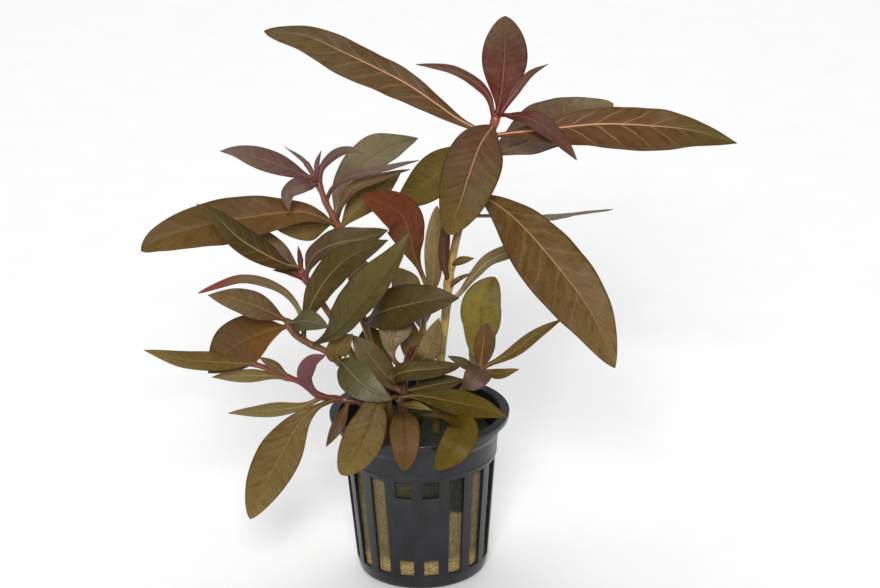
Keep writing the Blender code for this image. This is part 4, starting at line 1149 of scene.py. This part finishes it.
def blade(leaf, path, seed):
    """Vertices, faces, UV coordinates and skin numbers of a leaf's blade.

    The blade is a gutter with a groove along its midrib, cushions between its side
    veins and slightly wavy margins. Its stalk is round.
    """
    rng = np.random.default_rng(seed)
    lines = SKINS[leaf.skin].lines
    shown = seen_share(path, leaf.face)
    wide = np.broadcast_to(leaf.wide, 2).tolist()
    sign = np.sign(np.arange(-HALF_COLUMNS, HALF_COLUMNS + 1.0))
    reach = np.abs(np.arange(-HALF_COLUMNS, HALF_COLUMNS + 1)) / HALF_COLUMNS
    reach = reach ** 1.25
    length = path_length(path)
    top, bottom, blade_uv, size_uv = [], [], [], []
    waves = rng.uniform(0, math.tau, 6)
    pace = rng.uniform(0.8, 1.25, 6) * length / RUFFLE_LENGTH
    ruffle = min(RUFFLE_HEIGHT, max(wide) * MM / shown * RUFFLE_SHARE)
    for i, middle in enumerate(path):
        share = i / LEAF_ROWS
        side, outward = blade_frame(path, i, leaf.face)
        left, right = [half_width(leaf, share, half * MM / shown) for half in wide]
        x = sign * reach * np.where(sign < 0, left, right)
        # 1 where the blade is no more than its round stalk, 0 where it has spread.
        narrow = 1 - min(1.0, max(0.0, (min(left, right) / STALK_HALF - 1.0)))
        narrow *= share < leaf.peak
        spread = 1 - narrow
        groove = -GROOVE_DEPTH * np.exp(-(x / GROOVE_HALF) ** 2)
        phase = (share + VEIN_SWEEP * reach + VEIN_BEND * reach * reach) * lines
        cushion = np.abs(np.sin(math.pi * phase)) ** 0.7 - 0.6
        cushion = cushion * CUSHION_HEIGHT * np.sin(math.pi * reach ** 0.8)
        wave = np.zeros_like(x)
        for k in range(3):
            turns = [math.sin(waves[j] + share * pace[j] * (k + 1) * RUFFLE_TURNS)
                     for j in (k, k + 3)]
            wave += np.where(sign < 0, *turns) / (k + 1)
        wave *= math.sin(math.pi * share) ** 0.6 * ruffle * reach ** 2.2
        z = (left + right) * GUTTER * reach + (groove + cushion + wave) * spread
        flat = (BLADE_THICKNESS - MARGIN_THINNING * reach ** 2) * MM / 2
        rib = RIB_DEPTH * np.exp(-(x / RIB_HALF) ** 2) * (1 - 0.6 * share)
        stalk = np.sqrt(np.clip(1 - reach ** 2, 0, 1)) * STALK_HALF
        stalk = stalk * STALK_FLATNESS * narrow
        over = flat * spread + stalk
        under = (flat + rib) * spread + stalk
        if share > 1 - TIP_TAPER:
            under = under * (1 - share) / TIP_TAPER
        base = np.array(middle) + np.outer(x, np.array(side))
        top.append(base + np.outer(z + over, np.array(outward)))
        bottom.append(base + np.outer(z - under, np.array(outward)))
        blade_uv += [(0.5 + 0.5 * u, share) for u in sign * reach]
        size_uv += [(u, share * length / MM) for u in x / MM]
    faces, slots = BLADE_FACES
    return np.concatenate(top + bottom), faces, blade_uv * 2, size_uv * 2, slots


def leaf_tone(tone):
    """A colour as it is seen on a leaf, less the pale veil that the leaf's shine adds."""
    seen = linear(*tone, LEAF_DEPTH)
    return (*(max(0.001, part - LEAF_VEIL) for part in seen[:3]), 1.0)


def leaf_material(name, under):
    """A leaf's skin, above or below: blade colours, midrib, side veins and margin, with
    painted shade over one half and partly along the margin.
    """
    skin = SKINS[name]
    n = Nodes("leaf_" + name + ("_under" if under else ""))
    aside, along, _ = n.parts(n.uv("blade"))
    off_rib = n.math("ABSOLUTE", n.parts(n.uv("size"))["X"])
    swing = n.times(n.math("SUBTRACT", aside, 0.5), 2.0)
    across = n.math("ABSOLUTE", swing)
    patches = n.noise(190.0, 3.0)
    blotches = n.noise(520.0, 4.0, rough=0.65)
    cells = n.noise(2200.0, 3.0, rough=0.6)
    bend = n.times(n.times(across, across), VEIN_BEND)
    swept = n.plus(n.plus(n.times(across, VEIN_SWEEP), bend), n.times(patches, 0.05))
    phase = n.times(n.plus(along, swept), float(skin.lines))
    lay = n.node("ShaderNodeCombineXYZ", {0: n.times(phase, 2.1), 1: swing, 2: patches})
    streaks = n.noise(1.7, 5.0, lay.outputs[0], 0.62)
    up = n.plus(along, n.times(n.math("SUBTRACT", patches, 0.5), 0.45))
    stalk, low, middle, tip, margin = [leaf_tone(tone) for tone in skin[:5]]
    n.colour = n.mix(n.within(up, 0.03, 0.2), stalk, low)
    n.coat(middle, n.within(up, 0.2, 0.6))
    n.coat(tip, n.within(up, 0.6, 1.0))
    # Painted shade: the right half of the blade darker, in patches, in the margin's tone.
    n.coat(margin, n.within(n.plus(n.times(swing, 0.3), patches), 0.3, 0.8), 0.3)
    n.coat(margin, n.within(streaks, 0.48, 0.7), 0.5)
    n.coat(tip, n.within(streaks, 0.5, 0.3), 0.4)
    n.coat(tip, n.within(blotches, 0.52, 0.7), 0.4)
    n.coat(margin, n.within(cells, 0.48, 0.72), 0.3)
    line = n.math("ABSOLUTE", n.math("SUBTRACT", n.math("FRACT", phase), 0.5))
    side_vein = n.times(n.within(line, 0.44, 0.5), n.within(across, 1.0, 0.55))
    side_vein = n.times(side_vein, n.within(along, 0.98, 0.7))
    midrib = n.within(off_rib, n.math("MULTIPLY_ADD", along, -0.32, 0.42), 0.08)
    fade = n.times(n.within(along, 1.05, 0.45), skin.strength)
    vein = linear(*skin.vein)
    n.coat(vein, n.times(side_vein, fade), 0.32 * skin.strength ** 2)
    n.coat(vein, n.times(midrib, fade))
    # The margin's edge darker: partly its own redder colour, partly a painted shadow
    # line.
    n.coat(margin, n.times(n.within(across, 0.9, 1.0), n.within(along, 0.1, 0.25)), 0.35)
    if under:
        n.coat(leaf_tone((150, 118, 100)), 0.35)
    height = n.plus(n.times(cells, 0.5), n.times(streaks, 0.7))
    n.bump(n.math("SUBTRACT", height, n.times(side_vein, 0.35)), 0.16 * MM, 0.55)
    return n.finish(Roughness=n.plus(n.times(patches, 0.16), skin.rough - 0.06),
                    Specular_IOR_Level=skin.shine)


LEAF_MATERIALS = {}


def leaf_materials(name):
    """The upper and lower skin of that name, made at their first use."""
    if name not in LEAF_MATERIALS:
        LEAF_MATERIALS[name] = [leaf_material(name, False), leaf_material(name, True)]
    return LEAF_MATERIALS[name]


def joined_mesh(name, parts):
    """One object of several parts: vertices, faces, two UV sets, slots, materials."""
    verts, faces, blade_uv, size_uv, slots, materials = [], [], [], [], [], []
    for part_verts, part_faces, part_blade, part_size, part_slots, part_skins in parts:
        first, slot = len(verts), len(materials)
        verts += [tuple(v) for v in part_verts]
        faces += [tuple(v + first for v in face) for face in part_faces]
        blade_uv += part_blade
        size_uv += part_size
        slots += [slot + s for s in part_slots]
        materials += part_skins
    thing = mesh_object(name, verts, faces, materials)
    thing.data.polygons.foreach_set("material_index", slots)
    set_uv(thing.data, "blade", blade_uv)
    set_uv(thing.data, "size", size_uv)
    return thing


def build_stem(stem):
    """The stem's tube, swollen at each node and rounded at its tip, and its buds."""
    points = stem_points(stem)
    steps = max(12, round(path_length(points) / STEM_STEP))
    path = smooth_path(points, steps)
    length = path_length(path)
    nodes = node_places(stem)
    radii = []
    for i in range(steps + 1):
        share = i / steps
        swell = 1.0
        for place in nodes:
            swell += NODE_SWELL * math.exp(-((share - place) * length / NODE_LENGTH) ** 2)
        left = (1 - share) * length
        close = min(1.0, math.sqrt(max(0.0, left / TIP_LENGTH)) * 0.9 + 0.1)
        radii.append(stem_radius(stem, share) * min(swell, FATTEST_NODE) * close)
    verts, faces, spots = tube(path, radii, STEM_SIDES)
    sizes = [(u * STEM_SIDES, v * length / MM) for u, v in spots]
    parts = [(verts, faces, spots, sizes, [0] * len(faces), [stem_material(stem)])]
    for number, bud in enumerate(BUDS):
        if bud.stem == stem.name:
            shape = blade(bud, leaf_path(bud, stem), BUD_SEED + number)
            parts.append((*shape, leaf_materials(bud.skin)))
    thing = joined_mesh(stem.name + "_grown", parts)
    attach(thing, "root")
    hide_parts(stem.name)


STEM_OF = {stem.name: stem for stem in STEMS}
for stem in STEMS:
    build_stem(stem)
for number, leaf in enumerate(LEAVES):
    path = leaf_path(leaf, STEM_OF[leaf.stem])
    shape = blade(leaf, path, LEAF_SEED + number)
    thing = joined_mesh(leaf.name + "_blade", [(*shape, leaf_materials(leaf.skin))])
    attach(thing, "root")
    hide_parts(leaf.name)

# Surroundings: a plain white table and soft studio light from above and in front.
FLOOR_HALF = 4.0
paper = Nodes("floor_paper")
paper.colour = paper.mix(paper.noise(60.0), (0.86, 0.86, 0.86, 1.0), (0.9, 0.9, 0.9, 1.0))
corners = [(-1, -1), (1, -1), (1, 1), (-1, 1)]
corners = [(x * FLOOR_HALF, y * FLOOR_HALF, 0.0) for x, y in corners]
paper.finish(Roughness=0.9)
floor = mesh_object("floor", corners, [(0, 1, 2, 3)], [paper.material], False)


def area_light(name, place, aim, width, height, power):
    """A soft rectangular light at a place, turned towards another."""
    data = bpy.data.lights.new(name, "AREA")
    data.shape = "RECTANGLE"
    data.size = width
    data.size_y = height
    data.energy = power
    light = linked(name, data)
    light.location = place
    towards = Vector(aim) - Vector(place)
    light.rotation_euler = towards.to_track_quat("-Z", "Y").to_euler()


area_light("key", (-0.08, -1.96, 1.3), (0, 0, 0.07), 0.6, 0.6, 46.0)
area_light("top", (0.0, 0.8, 1.5), (0, 0.35, 0.0), 1.8, 1.4, 19.0)

world = bpy.data.worlds.new("surroundings")
world.use_nodes = True
sky = world.node_tree.nodes["Background"].inputs
sky["Color"].default_value = (1.0, 1.0, 1.0, 1.0)
sky["Strength"].default_value = 0.26
bpy.context.scene.world = world
bpy.context.scene.view_settings.view_transform = "Standard"


def visual_box():
    """The lowest and highest corner of every shown piece of the plant."""
    bpy.context.view_layer.update()
    low, high = Vector((9.0, 9.0, 9.0)), Vector((-9.0, -9.0, -9.0))
    for thing in bpy.data.objects:
        if thing.type != "MESH" or thing.hide_render or thing is floor:
            continue
        for corner in thing.bound_box:
            spot = thing.matrix_world @ Vector(corner)
            low = Vector(map(min, low, spot))
            high = Vector(map(max, high, spot))
    return low, high


seen_low, seen_high = visual_box()
